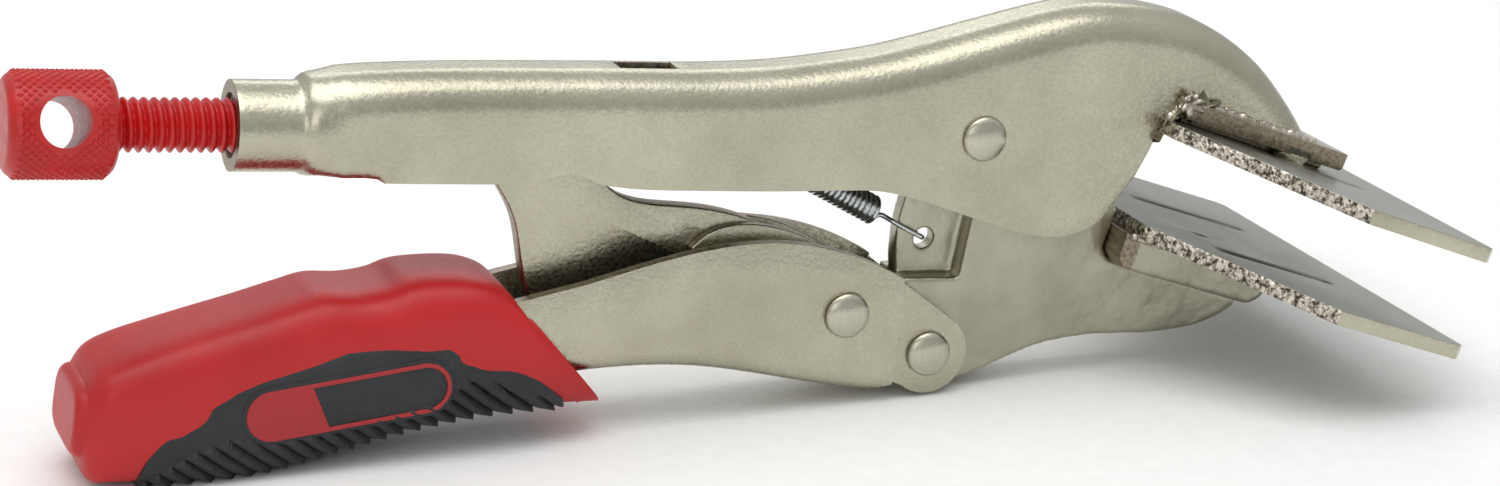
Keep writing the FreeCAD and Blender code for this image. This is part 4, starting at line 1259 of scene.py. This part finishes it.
def grip_plaques():
    """Plain badges, one a side: a raised red rim round a black field, and a solid red
    block at the rear end. They carry no lettering."""
    work = bmesh.new()
    base = GRIP_HALF - 0.5
    tilt = Matrix.Rotation(math.radians(-9.5), 4, "Y")
    for side in (-1, 1):
        place = Matrix.Translation((17.6, 0, -38.6)) @ tilt

        def slab(outline, low, high, material):
            rings = []
            for height in (low, high):
                rings.append([work.verts.new(place @ Vector((x, side * (base + height), z)))
                              for x, z in outline])
            caps = [work.faces.new(rings[1])]
            for a in range(len(outline)):
                b = (a + 1) % len(outline)
                caps.append(work.faces.new((rings[0][a], rings[0][b], rings[1][b], rings[1][a])))
            caps.append(work.faces.new(rings[0][::-1]))
            for face in caps:
                face.material_index = material

        slab(pill(16.0, 4.4), 0.0, 0.95, 0)
        outer, inner = pill(15.4, 3.85), pill(14.75, 3.2)
        rings = []
        for outline, height in ((outer, 0.5), (outer, 1.15), (inner, 1.15), (inner, 0.5)):
            rings.append([work.verts.new(place @ Vector((x, side * (base + height), z)))
                          for x, z in outline])
        for first, second in zip(rings, rings[1:] + rings[:1]):
            for a in range(len(outer)):
                b = (a + 1) % len(outer)
                work.faces.new((first[a], first[b], second[b], second[a])).material_index = 1
        block = [p for p in pill(14.9, 3.4) if p[0] < -4]
        block = [(-5.2, 3.4)] + block + [(-3.4, -3.4)]
        slab(block, 0.5, 1.15, 1)
    mesh = bpy.data.meshes.new("grip_badges")
    bmesh.ops.recalc_face_normals(work, faces=work.faces)
    work.to_mesh(mesh)
    work.free()
    mesh.transform(TOOL_MM)
    piece = link_piece("grip_badges", mesh, RUBBER, BADGE)
    ease_edges(piece, 0.10, 2, 50)
    finish(piece, 50)
    stand_in(piece, "grip_plaques", "handle")


# ------------------------------------------------------------------ carried-over nodes
def finish_cad_nodes():
    """The turned and hidden pieces keep their CAD shape and get their finish."""
    for node, material in (("threaded_bush", TURNED), ("screw_tip", TURNED),
                           ("link_spacers", BLASTED)):
        for slot in frame["nodes"][node].material_slots:
            slot.material = material


# ------------------------------------------------------------------ stage
def make_floor():
    size = 6.0
    mesh = bpy.data.meshes.new("paper_sweep")
    mesh.from_pydata([(-size, -size, 0), (size, -size, 0), (size, size, 0), (-size, size, 0)],
                     [], [(0, 1, 2, 3)])
    floor = link_piece("paper_sweep", mesh, pale_floor())


def make_world():
    """Even pale surroundings, brighter overhead, as in a light tent."""
    world = bpy.data.worlds.new("light_tent")
    bpy.context.scene.world = world
    world.use_nodes = True
    tree = world.node_tree
    tree.nodes.clear()
    way = add(tree, "ShaderNodeTexCoord").outputs["Generated"]
    up = add(tree, "ShaderNodeSeparateXYZ", {0: way}).outputs["Z"]
    share = spread(tree, up, 0.0, 1.0, -0.1, 0.9)
    colour = blend_colours(tree, share, "#C9CACB", "#FFFFFF")
    backdrop = add(tree, "ShaderNodeBackground", {"Color": colour, "Strength": 0.80})
    add(tree, "ShaderNodeOutputWorld", {"Surface": backdrop.outputs[0]})


def area_light(name, place, aim, width, height, power, tint="#FFFFFF"):
    data = bpy.data.lights.new(name, "AREA")
    data.shape = "RECTANGLE"
    data.size, data.size_y = width, height
    data.energy = power
    data.color = linear(tint)[:3]
    light = bpy.data.objects.new(name, data)
    bpy.context.scene.collection.objects.link(light)
    light.location = place
    light.rotation_mode = "QUATERNION"
    light.rotation_quaternion = (Vector(aim) - Vector(place)).to_track_quat("-Z", "Y")


def make_lights():
    """A wide soft box overhead, a fill by the camera and a low rim behind."""
    area_light("overhead_box", (-0.10, -0.10, 0.75), (0, 0, 0), 0.9, 0.6, 3.2)
    area_light("front_fill", (-0.45, -0.75, 0.35), (0, 0, 0.03), 0.5, 0.4, 0.7, "#FFFDF8")
    area_light("back_rim", (0.25, 0.7, 0.45), (0, 0, 0.03), 0.6, 0.3, 0.8)


def make_camera():
    """Seen from the knob's side and a little above; given in the tool's own frame."""
    azimuth, elevation, roll = (math.radians(a) for a in (22.365, 15.715, 5.902))
    forward = Vector((math.sin(azimuth) * math.cos(elevation),
                      math.cos(azimuth) * math.cos(elevation), -math.sin(elevation)))
    right = Vector((math.cos(azimuth), -math.sin(azimuth), 0))
    up = right.cross(forward)
    turned_right = right * math.cos(roll) + up * math.sin(roll)
    turned_up = up * math.cos(roll) - right * math.sin(roll)
    data = bpy.data.cameras.new("camera")
    data.sensor_fit = "HORIZONTAL"
    data.sensor_width = 36.0
    data.lens = 84.0
    data.clip_start, data.clip_end = 0.05, 30.0
    camera = bpy.data.objects.new("camera", data)
    bpy.context.scene.collection.objects.link(camera)
    turn = Matrix((turned_right, turned_up, -forward)).transposed().to_4x4()
    place = Matrix.Translation(Vector((-114.75, -478.99, 127.43)) * MM)
    camera.matrix_world = TOOL @ place @ turn
    bpy.context.scene.camera = camera


bpy.context.scene.view_settings.view_transform = "Standard"
make_camera()
make_world()
make_lights()
make_floor()
upper_handle()
blade("upper", "frame")
blade("lower", "jaw")
blade_strap()
beads = bead_tree()
upper_welds(beads)
lower_welds(beads)
lower_jaw()
blade_support()
lower_handle()
blanked_piece("link_plate", "toggle_link", "link", 0.3)
blanked_piece("link_cheek_plates", "link_cheeks", "link", 0.3)
rivet("jaw_rivet_heads", "jaw_rivet", JAW_PIVOT, UPPER_WIDTH, "frame")
rivet("handle_rivet_heads", "handle_rivet", HANDLE_PIVOT, LUG_WIDTH, "handle")
rivet("link_rivet_heads", "link_rivet", LINK_PIVOT, HANDLE_WIDTH, "handle")
adjusting_screw()
adjusting_knob()
return_spring()
grip_shell()
grip_insert()
grip_plaques()
finish_cad_nodes()
